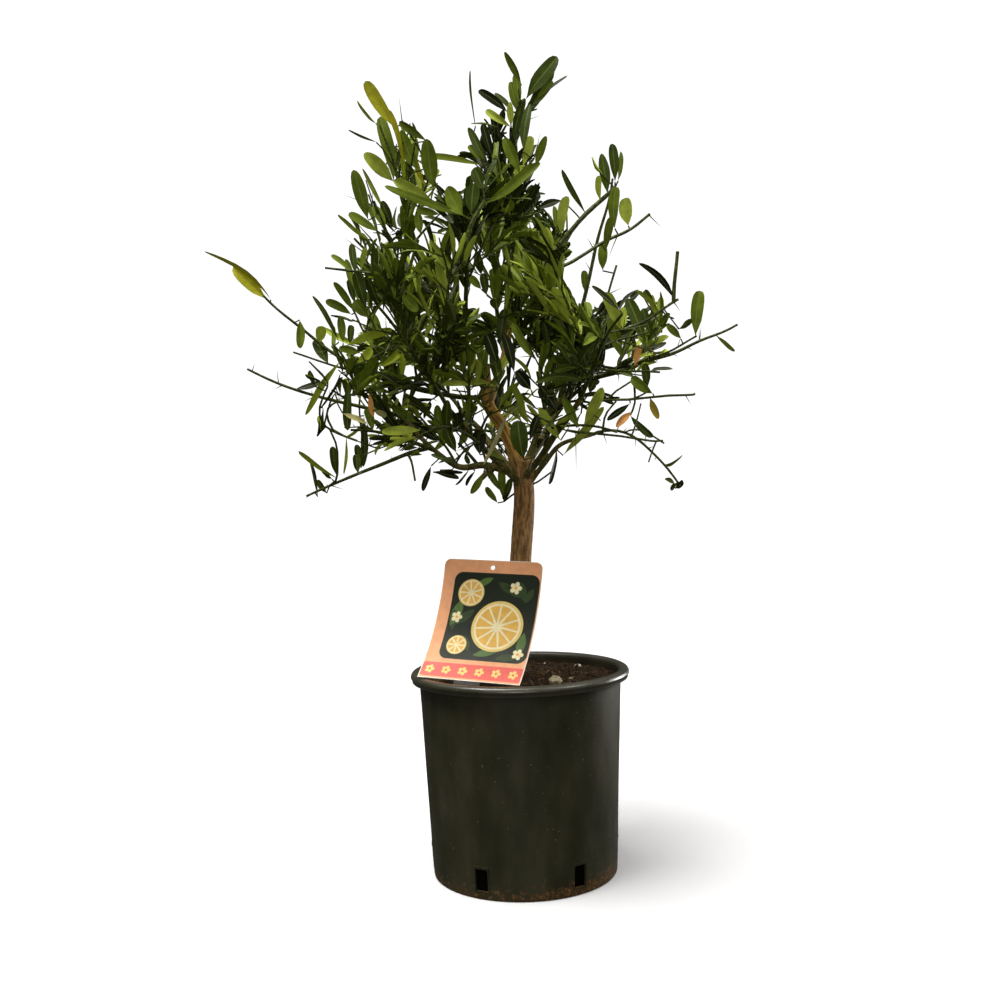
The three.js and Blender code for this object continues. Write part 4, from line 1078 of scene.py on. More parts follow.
def grow_twiglets(mass, stems):
    """Finer twigs on the shoots and twigs, which stay within the same space."""
    draw = random_stream(mass.seed + TWIGLET["seeds"])
    twiglets = []
    for stem in stems:
        count = int(stem.curve.length * (1 - stem.bare) / TWIGLET["spacing"] + 0.5)
        first_turn = draw() * 2 * math.pi
        for i in range(count):
            t = mix(TWIGLET["from"], TWIGLET["to"] - stem.bare, (i + 0.5) / count)
            turn = first_turn + i * GOLDEN_ANGLE + TWIGLET["turn"]
            opened = math.radians(TWIGLET["open"] + TWIGLET["open_spread"] * draw())
            share = mix(1, TWIGLET["length_at_tip"], t)
            reach = TWIGLET["length"] * share * mix(TWIGLET["shortest"], TWIGLET["longest"], draw())
            twig = free_twig(mass, stem.curve, t, opened, turn, reach)
            if not twig:
                continue
            twiglet = Stem(twig, TWIGLET["radius"], TWIGLET["tip_radius"], rank=2, tint=stem.tint)
            if is_leafy(outer_part(twiglet)):
                twiglets.append(twiglet)
    return twiglets


def grow_leaves(mass, stems, grown):
    """Leaves along every stem, in turns of the golden angle, each clear of limbs and of those before it."""
    draw = random_stream(mass.seed + LEAF["seeds"])
    leaves = []
    for stem in stems:
        start = LEAF["from_on_shoot"] if stem.rank == 0 else LEAF["from_on_twig"]
        count = max(1, int(stem.curve.length * (1 - start) / LEAF["spacing"] + 0.5))
        first_turn = draw() * 2 * math.pi
        for i in range(count + 1):
            t = mix(start, LEAF["to"], i / count)
            angle = LEAF["tip_open"] if i == count else LEAF["open"] + (draw() - 0.5) * LEAF["open_spread"]
            size = mix(LEAF["smallest"], LEAF["largest"], draw())
            roll = (draw() - 0.5) * LEAF["roll_spread"]
            width = LEAF["width"] * math.sqrt(size) * mix(LEAF["narrowest"], LEAF["broadest"], draw())
            form = [mix(low, high, draw()) for low, high in LEAF_FORM]
            if t > 1 - stem.bare and draw() > LEAF["bare_chance"]:
                continue
            foot = stem.curve.place(t)
            for k, part in enumerate(LEAF["shortened"]):
                turn = first_turn + i * GOLDEN_ANGLE + 2 * math.pi * k / len(LEAF["shortened"])
                outward = unit(outward_from(stem.curve, t, math.radians(angle), turn) + LEAF["lift"] * UP)
                across = turned(unit(np.array([-outward[1], outward[0], 0]) + NUDGE), outward, roll)
                leaf = Leaf(foot, outward, across, part * size * LEAF["length"], width, form, stem.tint)
                if leaf_is_free(leaf) and grown.is_clear(leaf) and not grown.hides_chosen(leaf):
                    grown.add(leaf)
                    leaves.append(leaf)
                    break
    return leaves


def outer_part(stem):
    """The places along a twig that have to stay in its mass's space."""
    return stem.curve.places(np.array(TWIG["tested_at"]))


def leaf_is_free(leaf):
    """Tells whether a leaf stays over the lowest level, clear of the limbs and in the leafy part."""
    if leaf.reach[:, 2].min() < CROWN["lowest"]:
        return False
    if (distances(leaf.reach, limb_pieces) < limb_reach + CROWN["limb_margin"]).any():
        return False
    return is_leafy(leaf.reach)


def as_seen(points):
    """Where points show on the plane y = 0."""
    eye = np.array(CAMERA["place"])
    return (eye + (points - eye) * (-eye[1] / (points[:, 1] - eye[1]))[:, None])[:, [0, 2]]


def behind_place(place, y):
    """The point at a depth y that shows at a place on the plane y = 0."""
    eye = np.array(CAMERA["place"])
    return eye + (np.array([place[0], 0, place[1]]) - eye) * ((y - eye[1]) / -eye[1])


def is_leafy(points):
    """Tells whether all points show in the leafy part of the crown, and none in a gap that shows sky."""
    seen = as_seen(points)
    offset = seen - CROWN_MIDDLE
    angles = np.degrees(np.arctan2(offset[:, 1], offset[:, 0])) % 360
    reach = np.interp(angles, np.linspace(0, 360, len(CROWN_REACH) + 1), [*CROWN_REACH, CROWN_REACH[0]])
    if (np.hypot(offset[:, 0], offset[:, 1]) > reach).any():
        return False
    gaps = np.array(SKY_GAPS, float)
    share = (seen[:, None] - gaps[:, :2]) / gaps[:, 2:]
    return not ((share**2).sum(axis=2) < 1).any()


class Grown:
    """The lines of all leaves so far, which later leaves keep away from, and of the chosen ones as seen."""

    def __init__(self, most):
        self.pieces = np.zeros((most, 2, 3))
        self.count = 0
        self.chosen = np.zeros((0, 2, 3))
        self.depths = np.zeros(0)
        self.clear = np.zeros(0)

    def is_clear(self, leaf):
        return not self.count or distances(leaf.reach, self.pieces[: self.count]).min() > LEAF["apart"]

    def hides_chosen(self, leaf):
        """Tells whether a leaf would stand before a chosen one."""
        crosses = distances(flat_on(as_seen(leaf.reach)), self.chosen) < self.clear
        return (crosses & (self.depths > leaf.reach[:, 1].min() - CHOSEN["before"])).any()

    def add(self, leaf):
        self.pieces[self.count] = leaf.line
        self.count += 1

    def add_chosen(self, leaf):
        self.add(leaf)
        self.keep_seen(leaf.foot, leaf.reach[-1], CHOSEN["clear"] + leaf.half)

    def keep_seen(self, foot, tip, clear):
        """Keeps later leaves from standing before a line."""
        self.chosen = np.concatenate([self.chosen, flat_on(as_seen(np.array([foot, tip])))[None]])
        self.depths = np.append(self.depths, foot[1])
        self.clear = np.append(self.clear, clear)


def flat_on(places):
    return np.column_stack([places[:, 0], np.zeros(len(places)), places[:, 1]])


class Leaf:
    """A leaf's place and shape: its length, half width, bend, fold, twist, sweep and waves."""

    def __init__(self, foot, outward, across, length, width, form, tint):
        self.foot = foot
        self.outward = outward
        self.across = across
        self.up = np.cross(outward, across)
        self.length = length
        self.half = width / 2
        self.bend, self.fold, self.twist, self.sickle, self.bluntness, self.phase = form
        self.tint = tint
        tested = np.array(LEAF["tested_at"])[:, None] * np.array([[length, 0, 0]])
        self.reach = self.placed(self.bent(tested))
        self.line = self.reach[[1, -1]]

    def bent(self, local):
        """Points along, across and over the flat leaf, turned, bent down and swept sideways."""
        share = local[:, 0] / self.length
        bend = self.bend if abs(self.bend) > LEAST_BEND else LEAST_BEND
        angle = bend * share
        turn = self.twist * share
        aside = local[:, 1] * np.cos(turn) - local[:, 2] * np.sin(turn)
        over = local[:, 1] * np.sin(turn) + local[:, 2] * np.cos(turn)
        along = self.length * np.sin(angle) / bend + over * np.sin(angle)
        height = over * np.cos(angle) - self.length * (1 - np.cos(angle)) / bend
        return np.stack([along, aside + self.sickle * self.length * share**2, height], axis=1)

    def placed(self, local):
        return self.foot + local @ np.array([self.outward, self.across, self.up])

    def points(self):
        """The root, the tip and ten points round the blade at each station."""
        half = np.maximum(self.half * mix(POINTED, BLUNT, self.bluntness), PETIOLE_HALF)[:, None]
        aside = half * ACROSS
        wave = LEAF["wave"] * np.sin(LEAF["waves"] * STATIONS + self.phase)[:, None] * half * ACROSS**2
        over = np.abs(aside) * math.tan(self.fold) + wave - UNDER * LEAF["thickness"]
        along = np.repeat(STATIONS[:, None] * self.length, len(ACROSS), axis=1)
        rings = np.stack([along, aside, over], axis=2).reshape(-1, 3)
        ends = np.array([[0, 0, 0], [self.length, 0, 0]])
        return self.placed(self.bent(np.concatenate([ends, rings])))


class Stems:
    """Points along all stems, to which the chosen leaves, twigs and thorns are fastened where they show."""

    def __init__(self):
        self.points = np.zeros((0, 3))
        self.costs = np.zeros(0)

    def add(self, curve, bonus=0.0):
        points = curve.places(np.linspace(CHOSEN["samples_from"], 1, CHOSEN["samples"]))
        self.points = np.concatenate([self.points, points])
        self.costs = np.append(self.costs, CHOSEN["depth_cost"] * points[:, 1] - bonus)

    def nearest(self, place):
        """The point that shows nearest to a place, those in front before those behind."""
        away = np.linalg.norm(as_seen(self.points) - place, axis=1)
        return self.points[(away + self.costs).argmin()]


def chosen_twig(stems, row):
    """A twig through places where it shows, fastened to the stem behind its foot."""
    foot = stems.nearest(row[1])
    points = [foot] + [behind_place(place, foot[1]) for place in row[2:]]
    return Stem(curve_through(points), row[0], CHOSEN["taper"] * row[0], bare=1, rank=1)


def chosen_foot(stems, place, wood):
    """The point where a chosen leaf's foot shows, on a short spur where the nearest stem is further off."""
    nearest = stems.nearest(place)
    foot = behind_place(place, nearest[1])
    if np.linalg.norm(foot - nearest) < CHOSEN["spur_from"]:
        return nearest
    add_stem(wood, Stem(straight(nearest, foot), CHOSEN["spur_radius"], CHOSEN["spur_radius"], rank=2))
    return foot


def chosen_leaf(stems, row, draw, wood):
    """A leaf between the places where its foot and tip show, turned to show its width."""
    tip_x, tip_z, foot_x, foot_z, width, curve, tint = row
    foot = chosen_foot(stems, (foot_x, foot_z), wood)
    reach = math.hypot(tip_x - foot_x, tip_z - foot_z)
    tip = behind_place((tip_x, tip_z), foot[1] + (draw() - 0.5) * CHOSEN["depth_spread"] * reach)
    true_width = max(width, CHOSEN["widest_tilt"])
    tilt = math.acos(width / true_width)
    tilt *= 1 if draw() > 0.5 or tint in LIT_TINTS else -1
    fold, twist, bluntness = (mix(*CHOSEN[key], draw()) for key in ("fold", "twist", "bluntness"))
    form = (CHOSEN["bend"], fold, twist, curve, bluntness, 2 * math.pi * draw())
    aim = tip
    for _ in range(CHOSEN["aims"]):
        chord = unit(aim - foot)
        facing = np.array(CAMERA["place"]) - foot
        up = unit(facing - chord * (facing @ chord))
        outward = turned(chord, up, -math.atan(curve))
        across = turned(np.cross(up, outward), outward, tilt if outward[0] > 0 else -tilt)
        length = np.linalg.norm(aim - foot) / math.hypot(1, curve)
        leaf = Leaf(foot, outward, across, length, true_width, form, tint)
        aim = aim + tip - leaf.reach[-1]
    return leaf


def leaf_faces():
    """The faces of every leaf, and the side of the leaf that each belongs to."""
    around = len(ACROSS)
    last = 2 + (len(STATIONS) - 1) * around
    faces, sides = [], []
    for j in range(around):
        after = (j + 1) % around
        faces.append([0, 2 + j, 2 + after])
        for low in range(2, last, around):
            faces.append([low + j, low + around + j, low + around + after, low + after])
        faces.append([last + j, 1, last + after])
        sides += [BLADE_SIDES[j]] * (len(STATIONS) + 1)
    return faces, sides


def sway(points):
    """Bends the straight lines of the crown a little, by waves that run through the whole of it."""
    points = np.asarray(points, float)
    moved = np.zeros_like(points)
    for axis, turn in enumerate(SWAY["turns"]):
        for step, share in SWAY["waves"]:
            heading = np.array([math.cos(turn + step), math.sin(turn + step), SWAY["rise"]])
            wave = points @ heading / SWAY["wave"]
            moved[:, axis] += share * np.sin(2 * step * wave + turn * step + axis)
    return points + SWAY["reach"] * smooth_step(SWAY["from"], SWAY["full"], points[:, 2])[:, None] * moved


# Crown
def add_stem(batch, stem):
    """A twig with small swellings at its nodes and a blunt end."""
    steps = max(3, round(stem.curve.length / STEM_STEP))
    t = np.linspace(0, 1, steps + 1)
    swelling = 1 + NODE_SWELLING * (np.arange(steps + 1) % 2)
    rings = tube(sway(stem.curve.places(t)), stem.radius_at(t) * swelling, STEM_SIDES[stem.rank])
    batch.add(rings.reshape(-1, 3), bands(steps + 1, STEM_SIDES[stem.rank]))


def add_thorns(batch, mass, stems):
    """Thin straight thorns that stand out of the twigs between their leaves."""
    draw = random_stream(mass.seed + THORN["seeds"])
    for stem in stems:
        for i in range(int(stem.curve.length * THORN["share"] / THORN["spacing"])):
            t = mix(THORN["from"], THORN["to"], (i + draw()) * THORN["spacing"] / stem.curve.length)
            turn = draw() * 2 * math.pi
            length = mix(THORN["shortest"], THORN["longest"], draw() ** THORN["bias"])
            chance = 1 if t > 1 - stem.bare else THORN["chance"]
            if draw() > chance or t > 1:
                continue
            outward = outward_from(stem.curve, t, math.radians(THORN["open"]), turn) + THORN["lift"] * UP
            foot = stem.curve.place(t)
            add_thorn(batch, foot, foot + length * unit(outward))


def add_thorn(batch, foot, tip):
    """A straight thorn that narrows to its point."""
    rings = tube(sway(np.array([foot, (foot + tip) / 2, tip])), THORN["radii"], THORN["sides"])
    batch.add(rings.reshape(-1, 3), bands(len(THORN["radii"]), THORN["sides"]))


def tint_for(mass, value):
    """The tint of a spray, dealt out by the shares of its mass."""
    total = 0
    for tint, share in zip(TINTS, TINT_SHARES.get(mass.name, USUAL_SHARES)):
        total += share
        if value < total:
            return tint
    return "green"


def deal_tints(mass, stems):
    """Gives every shoot and twig the tint of its spray."""
    draw = random_stream(mass.seed + TINT_SEEDS)
    for stem in stems:
        stem.tint = tint_for(mass, draw())


def make_crown():
    """Twigs, thorns and leaves of every mass, each kind in its own piece."""
    wood, thorns = Batch(), Batch()
    blades = {tint: Batch() for tint in TINTS}
    grown = Grown(MOST_LEAVES)
    stems = {}
    seen = Stems()
    for limb in limbs.values():
        seen.add(limb["curve"])
    for mass in masses:
        made = [shoot for shoot in mass.shoots if shoot.is_drawn] + grow_twigs(mass)
        deal_tints(mass, made)
        stems[mass.name] = made + grow_twiglets(mass, made)
        for stem in stems[mass.name]:
            add_stem(wood, stem)
            seen.add(stem.curve)
    leaves = make_chosen(seen, grown, wood, thorns)
    for mass in masses:
        leaves += grow_leaves(mass, stems[mass.name], grown)
        add_thorns(thorns, mass, stems[mass.name])
    faces, sides = leaf_faces()
    for leaf in leaves:
        blades[leaf.tint].add(sway(leaf.points()), faces, sides)
    names = [mass.name for mass in masses]
    make_piece("twigs", wood, [plain_material("twig")], names)
    make_piece("thorns", thorns, [plain_material("thorn")], names)
    for tint, batch in blades.items():
        materials = leaf_materials("leaf_" + tint, rgb(*TINTS[tint]))
        make_piece("leaves_" + tint, batch, materials, names)
    print("crown:", grown.count, "leaves")


def make_chosen(seen, grown, wood, thorns):
    """The twigs, leaves and thorns that stand out in the photo."""
    draw = random_stream(CHOSEN["seed"])
    for row in CHOSEN_TWIGS:
        twig = chosen_twig(seen, row)
        add_stem(wood, twig)
        seen.add(twig.curve, CHOSEN["own_bonus"])
    leaves = []
    for row in CHOSEN_LEAVES:
        leaf = chosen_leaf(seen, row, draw, wood)
        grown.add_chosen(leaf)
        leaves.append(leaf)
    steps = np.linspace(0, OPEN_LIMB["to"], OPEN_LIMB["steps"] + 1)
    places = limbs[OPEN_LIMB["name"]]["curve"].places(steps)
    for foot, tip in zip(places[:-1], places[1:]):
        grown.keep_seen(foot, tip, OPEN_LIMB["clear"])
    for tip_x, tip_z, foot_x, foot_z in CHOSEN_THORNS:
        foot = seen.nearest((foot_x, foot_z))
        add_thorn(thorns, foot, behind_place((tip_x, tip_z), foot[1]))
    return leaves


# Trunk and boughs
def add_limb(batch, centres, radii):
    """A closed tube with a rounded end, which the remesh joins to those that it runs into."""
    rings = tube(centres, radii, LIMB_SIDES)
    ahead = unit(centres[-1] - centres[-2])
    cap = []
    for share in CUT_RINGS:
        drawn_in = centres[-1] + (rings[-1] - centres[-1]) * math.sqrt(1 - share**2)
        cap.append(drawn_in + ahead * share * radii[-1] * CUT_ROUNDNESS)
    rings = np.concatenate([rings, cap])
    batch.add(rings.reshape(-1, 3), bands(len(rings), LIMB_SIDES))


def rough_limbs():
    """The trunk, boughs and stubs as overlapping tubes, and the straight pieces that their bark follows."""
    batch = Batch()
    rows = []
    for name, limb in limbs.items():
        length = limb["curve"].length
        t = np.linspace(0, 1, round(length / LIMB_STEP) + 1)
        radii = np.array([limb_radius(name, value) for value in t])
        if name != "trunk":
            radii *= 1 + COLLAR * np.exp(-(np.maximum(t * length - COLLAR_FROM, 0)) / COLLAR_LENGTH)
        rows.append((limb["curve"].places(t), radii, YOUNG.get(name, USUAL_YOUNG)))
    for stub in STUBS:
        t = np.linspace(0, 1, STUB_POINTS)
        centres = mix(np.array(stub["foot"], float), np.array(stub["tip"], float), t[:, None])
        rows.append((centres, mix(*stub["radii"], t), stub["young"]))
    for centres, radii, _ in rows:
        add_limb(batch, centres, radii)
    return batch, rows


def remeshed(batch):
    """One skin round overlapping closed tubes."""
    rough = batch.made("rough_limbs")
    remesh = rough.modifiers.new("remesh", "REMESH")
    remesh.mode = "VOXEL"
    remesh.voxel_size = VOXEL * MM
    smooth = rough.modifiers.new("smooth", "SMOOTH")
    smooth.iterations = SKIN_SMOOTHING
    skin = finished_mesh(rough)
    bpy.data.objects.remove(rough)
    return skin


def bark_places(points, rows):
    """For each point, its nearest limb's youth, and how far along and in which direction round it lies."""
    foot = np.concatenate([centres[:-1] for centres, _, _ in rows])
    tip = np.concatenate([centres[1:] for centres, _, _ in rows])
    radius = np.concatenate([radii[:-1] for _, radii, _ in rows])
    young = np.concatenate([np.full(len(centres) - 1, value) for centres, _, value in rows])
    before = np.concatenate([np.linspace(0, 1, len(c))[:-1] * length_of(c) for c, _, _ in rows])
    pieces = np.stack([foot, tip], axis=1)
    nearest = np.zeros(len(points), int)
    for start in range(0, len(points), POINTS_AT_ONCE):
        part = slice(start, start + POINTS_AT_ONCE)
        nearest[part] = (distances(points[part], pieces) / radius).argmin(axis=1)
    along = tip[nearest] - foot[nearest]
    along /= np.linalg.norm(along, axis=1)[:, None]
    offset = points - foot[nearest]
    share = (offset * along).sum(axis=1)
    out = offset - share[:, None] * along
    out /= np.maximum(np.linalg.norm(out, axis=1), TINY)[:, None]
    return young[nearest], before[nearest] + share, out * radius[nearest][:, None]


def length_of(centres):
    return np.linalg.norm(np.diff(centres, axis=0), axis=1).sum()


def streaks(around, along, width, length, seed):
    """Noise in long streaks along a limb."""
    places = np.column_stack([around / width, along / length + seed])
    places[:, 0] += places[:, 2] * STREAK_SLANT[0]
    places[:, 1] -= places[:, 2] * STREAK_SLANT[1]
    return np.array([noise.noise_vector(Vector(row))[0] for row in places])


def read_out(values, key, count):
    """An array of vectors read from a mesh."""
    flat = np.zeros(count * 3)
    values.foreach_get(key, flat)
    return flat.reshape(-1, 3)


def make_bark():
    """One skin over the trunk, boughs and stubs, with fluted, fissured bark, greener where it is young."""
    batch, rows = rough_limbs()
    skin = remeshed(batch)
    count = len(skin.vertices)
    points = read_out(skin.vertices, "co", count) / MM
    normals = read_out(skin.vertex_normals, "vector", count)
    young, along, out = bark_places(points, rows)
    around = out[:, :2] + out[:, 2:] * np.array(BARK_SLANT)
    noise.seed_set(BARK_SEED)
    noises, height = {}, {}
    for kind, (width, length, seed, full_height) in BARK.items():
        noises[kind] = streaks(around, along, width, length, seed)
        height[kind] = full_height * noises[kind]
    size = np.clip(np.linalg.norm(out, axis=1) / FULL_BARK_RADIUS, LEAST_BARK, 1)
    age = 1 - YOUNG_LOSS * young
    rise = size * (height["flute"] + age * (height["ridge"] + height["crack"]))
    groove = GROOVE["middle"] - GROOVE["ridge"] * noises["ridge"] - GROOVE["crack"] * noises["crack"]
    points += normals * rise[:, None]
    skin.vertices.foreach_set("co", (sway(points) * MM).ravel())
    # Warmer, lighter bark from the fork up: partly the limbs' tone, partly painted light against the crown's
    # shade
    warm_and_lit = smooth_step(*WARM_AND_LIT_FROM, points[:, 2])
    for name, values in (("young", young), ("groove", np.clip(groove, 0, 1)), ("warm_and_lit", warm_and_lit)):
        skin.attributes.new(name, "FLOAT", "POINT").data.foreach_set("value", values.astype(np.float32))
    skin.update()
    bark = link(bpy.data.objects.new("bark", skin))
    dress(bark, [bark_material()], list(LIMBS), ALL_SMOOTH)
    print("bark:", len(skin.polygons), "faces")


def bark_material():
    """Brown bark, darker in its grooves, that turns green on young boughs."""
    made, tree, inputs = new_material("bark", BARK_SPECULAR)
    noises = {key: grain(tree, *row) for key, row in GRAINS.items() if key.startswith("bark")}
    groove = attribute(tree, "groove")
    patches = spread(tree, noises["bark_patches"], *SPREADS["bark_patches"])
    pale, dark, warm_and_lit = (
        ramp(tree, groove, colour_stops(STOPS[key])) for key in ("bark_pale", "bark_dark", "bark_warm_and_lit")
    )
    green = ramp(tree, patches, colour_stops(STOPS["bark_green"]))
    # Up in the crown the brown turns warmer and lighter, partly painted light against the crown's shade
    brown = blended(tree, attribute(tree, "warm_and_lit"), blended(tree, patches, dark, pale), warm_and_lit)
    bark = blended(tree, attribute(tree, "young"), brown, green)
    lenticels = spread(tree, noises["bark_lenticels"], *SPREADS["bark_lenticels"])
    rough = spread(tree, noises["bark_roughness"], *SPREADS["bark_roughness"])
    flecked = blended(tree, lenticels, bark, rgb(*LENTICEL_COLOUR))
    fit_shader(tree, inputs, flecked, rough, noises["bark_relief"], BARK_RELIEF)
    return made


# Flat shapes laid on the pot's wall and on the label
def flat_shape(loops, low, high, strip, place):
    """The points and faces of a flat sheet with holes and a thickness, cut into strips and laid on a form."""
    bm = bmesh.new()
    for loop in loops:
        corners = [bm.verts.new((across, 0, up)) for across, up in loop]
        for i, corner in enumerate(corners):
            bm.edges.new((corner, corners[i - 1]))
    bmesh.ops.triangle_fill(bm, use_beauty=True, edges=bm.edges[:])
    heights = [vert.co.z for vert in bm.verts]
    for level in np.arange(math.ceil(min(heights) / strip) * strip, max(heights), strip):
        geometry = bm.verts[:] + bm.edges[:] + bm.faces[:]
        level_place = (0, 0, level)
        bmesh.ops.bisect_plane(bm, geom=geometry, dist=SAME_PLACE, plane_co=level_place, plane_no=UP)
    made = bmesh.ops.extrude_face_region(bm, geom=bm.faces[:], use_keep_orig=True)["geom"]
    for item in made:
        if isinstance(item, bmesh.types.BMVert):
            item.co.y = 1
    bmesh.ops.recalc_face_normals(bm, faces=bm.faces[:])
    bm.verts.index_update()
    flat = np.array([vert.co for vert in bm.verts])
    faces = [[vert.index for vert in face.verts] for face in bm.faces]
    bm.free()
    points = place(flat[:, 0], mix(low, high, flat[:, 1]), flat[:, 2])
    return points, faced_out(points, faces)


def faced_out(points, faces):
    """The faces of a closed shape, turned round if they look inwards."""
    volume = 0
    for face in faces:
        corners = points[face]
        volume += sum(np.cross(corners[0], corners[i]) @ corners[i + 1] for i in range(1, len(face) - 1))
    return [face[::-1] for face in faces] if volume < 0 else faces


def circle(across, up, radius, count):
    return ring(across, up, radius, turns(count))


def rounded_box(left, low, right, high, radius, corners=(True, True, True, True)):
    """A box, rounded at the corners that are asked for, from the lower right one round to the lower left."""
    places = [
        (right, low, -1, 1, -90),
        (right, high, -1, -1, 0),
        (left, high, 1, -1, 90),
        (left, low, 1, 1, 180),
    ]
    outline = []
    for (across, up, inwards, upwards, start), is_round in zip(places, corners):
        if is_round:
            angles = np.radians(np.linspace(start, start + 90, CORNER_POINTS))
            outline.append(ring(across + inwards * radius, up + upwards * radius, radius, angles))
        else:
            outline.append([(across, up)])
    return np.concatenate(outline)


# Pot
def wall_radius(height):
    """The outer radius of the pot's wall at a height."""
    return mix(POT["base_radius"], POT["wall_top_radius"], (height - POT["foot"]) / (RIM_FOOT - POT["foot"]))


def bow(start, control, end, steps):
    """The points of a quadratic arc after its first."""
    return quadratic(*(np.array(p, float) for p in (start, control, end)), np.linspace(0, 1, steps + 1)[1:])


def pot_profile():
    """Radius and height from the middle of the underside round to the middle of the floor."""
    height, base, wall_top, rim = POT["height"], POT["base_radius"], POT["wall_top_radius"], POT["rim_radius"]
    wall, foot, soft, floor = POT["wall"], POT["foot"], POT["soft"], POT["floor"]
    few, many = POT["edge_steps"], POT["bead_steps"]
    skirt = rim - POT["skirt_inset"]
    skirt_top = RIM_FOOT + POT["skirt_height"]
    ledge_foot = (skirt + soft, skirt_top + POT["ledge_rise"])
    bead = (rim - wall_top + wall) / 2
    inner = wall_top - wall
    outside = np.linspace(foot, RIM_FOOT - soft, POT["wall_rows"])[1:]
    under_bead = np.linspace(height - bead, RIM_FOOT, POT["bead_rows"])[1:]
    inside = np.linspace(RIM_FOOT, floor, POT["inner_rows"])[1:]
    return np.concatenate([
        [[0, 0], [base / 2, 0], [base - foot - POT["sole_ring"], 0], [base - foot, 0]],
        bow((base - foot, 0), (base, 0), (base, foot), POT["foot_steps"]),
        np.column_stack([wall_radius(outside), outside]),
        bow((wall_top, RIM_FOOT - soft), (wall_top, RIM_FOOT), (wall_top + soft, RIM_FOOT), few),
        bow((skirt - soft, RIM_FOOT), (skirt, RIM_FOOT), (skirt, RIM_FOOT + soft), few),
        bow((skirt, skirt_top - soft), (skirt, skirt_top), ledge_foot, few),
        bow((rim, skirt_top + POT["ledge"]), (rim, height), (rim - bead, height), many),
        bow((rim - bead, height), (inner, height), (inner, height - bead), many),
        np.column_stack([np.full(len(under_bead), inner), under_bead]),
        np.column_stack([mix(base - wall, inner, (inside - floor) / (RIM_FOOT - floor)), inside]),
        [[base / 2, floor], [0, floor]],
    ])


def lathe(profile, sides):
    """The points and faces of a profile turned round the upright axis, its first and last point on it."""
    middle = profile[1:-1]
    x, y = (np.outer(middle[:, 0], f(turns(sides))) for f in (np.cos, np.sin))
    rings = np.stack([x, y, np.repeat(middle[:, 1:], sides, 1)], axis=2)
    points = np.concatenate([rings.reshape(-1, 3), [[0, 0, profile[0][1]], [0, 0, profile[-1][1]]]])
    faces = bands(len(middle), sides, closed_ends=False)
    last = (len(middle) - 1) * sides
    for side in range(sides):
        after = (side + 1) % sides
        faces.append([len(points) - 2, after, side])
        faces.append([last + side, last + after, len(points) - 1])
    return points, faces


def wavy(points):
    """The pot with the faint unevenness of moulded plastic in its wall, its underside and rim left even."""
    radius = np.hypot(points[:, 0], points[:, 1])
    share = smooth_step(*POT_WAVE["foot"], points[:, 2]) * (1 - smooth_step(*POT_WAVE["top"], points[:, 2]))
    share *= smooth_step(*POT_WAVE["inside"], radius)
    moved = np.array([noise.noise(Vector(row)) for row in points / np.array(POT_WAVE["size"])])
    scale = 1 + POT_WAVE["height"] * share * moved / np.maximum(radius, 1)
    return points * np.column_stack([scale, scale, np.ones(len(points))])


def slot_turns():
    return [math.radians(SLOT["first_degrees"] + 360 * i / SLOT["count"]) for i in range(SLOT["count"])]


def slot_outline(margin):
    """A slot's outline, rounded at its upper corners, made larger by a margin at its sides and top."""
    half = SLOT["width"] / 2 + margin
    low, high = SLOT["bottom"] - margin, SLOT["bottom"] + SLOT["height"] + margin
    return rounded_box(-half, low, half, high, SLOT["corner"] + margin, (False, True, True, False))


def make_pot():
    """The pot turned in one piece, with its drainage slots cut through the wall."""
    batch = Batch()
    points, faces = lathe(pot_profile(), POT["sides"])
    batch.add(wavy(points), faces)
    pot = make_piece("nursery_pot", batch, [pot_material("pot")], ["pot"], POT_SMOOTH)
    cutters = Batch()
    depth = SLOT["depth"] / 2
    for turn in slot_turns():
        cutters.add(*flat_shape([slot_outline(0)], -depth, depth, SLOT["strip"], on_slot_plane(turn)))
    cutter = cutters.made("slot_cutter")
    cut = pot.modifiers.new("slots", "BOOLEAN")
    cut.operation = "DIFFERENCE"
    cut.solver = "EXACT"
    cut.object = cutter
    finished = finished_mesh(pot)
    pot.modifiers.clear()
    pot.data = finished
    bpy.data.objects.remove(cutter)
    finished.materials.append(pot_material("pot_rim"))
    on_rim = [int(face.center.z > RIM_FOOT * MM) for face in finished.polygons]
    finished.polygons.foreach_set("material_index", on_rim)
    finished.set_sharp_from_angle(angle=math.radians(POT_SMOOTH))


def on_slot_plane(turn):
    """Lays a flat shape on the upright plane that touches the pot's foot, turned round the pot."""

    def place(across, out, up):
        flat = np.column_stack([across, -(POT["base_radius"] + out), up])
        return flat @ np.array(Matrix.Rotation(turn, 3, "Z")).T

    return place


def on_wall(turn):
    """Lays a flat shape on the pot's wall, turned round the pot."""

    def place(across, out, up):
        radius = wall_radius(up) + out
        angle = turn + across / radius
        return np.column_stack([radius * np.sin(angle), -radius * np.cos(angle), up])

    return place


def make_slot_frames():
    """A low moulded frame round each slot, heaviest over its top."""
    batch = Batch()
    top = SLOT["bottom"] + SLOT["height"]
    lip_low, lip_high = SLOT_FRAME["lip_levels"]
    half = SLOT["width"] / 2 + SLOT_FRAME["lip_wider"]
    lip = rounded_box(-half, top + lip_low, half, top + lip_high, SLOT_FRAME["lip_corner"])
    frame_loops = [slot_outline(SLOT_FRAME["side"]), slot_outline(SLOT_FRAME["gap"])]
    for turn in slot_turns():
        for loops, raised in ((frame_loops, "raised"), ([lip], "lip_raised")):
            levels = (-SLOT_FRAME["sunk"], SLOT_FRAME[raised])
            batch.add(*flat_shape(loops, *levels, SLOT_FRAME["strip"], on_wall(turn)))
    make_piece("slot_frames", batch, [pot_material("slot_frame")], (), POT_SMOOTH)


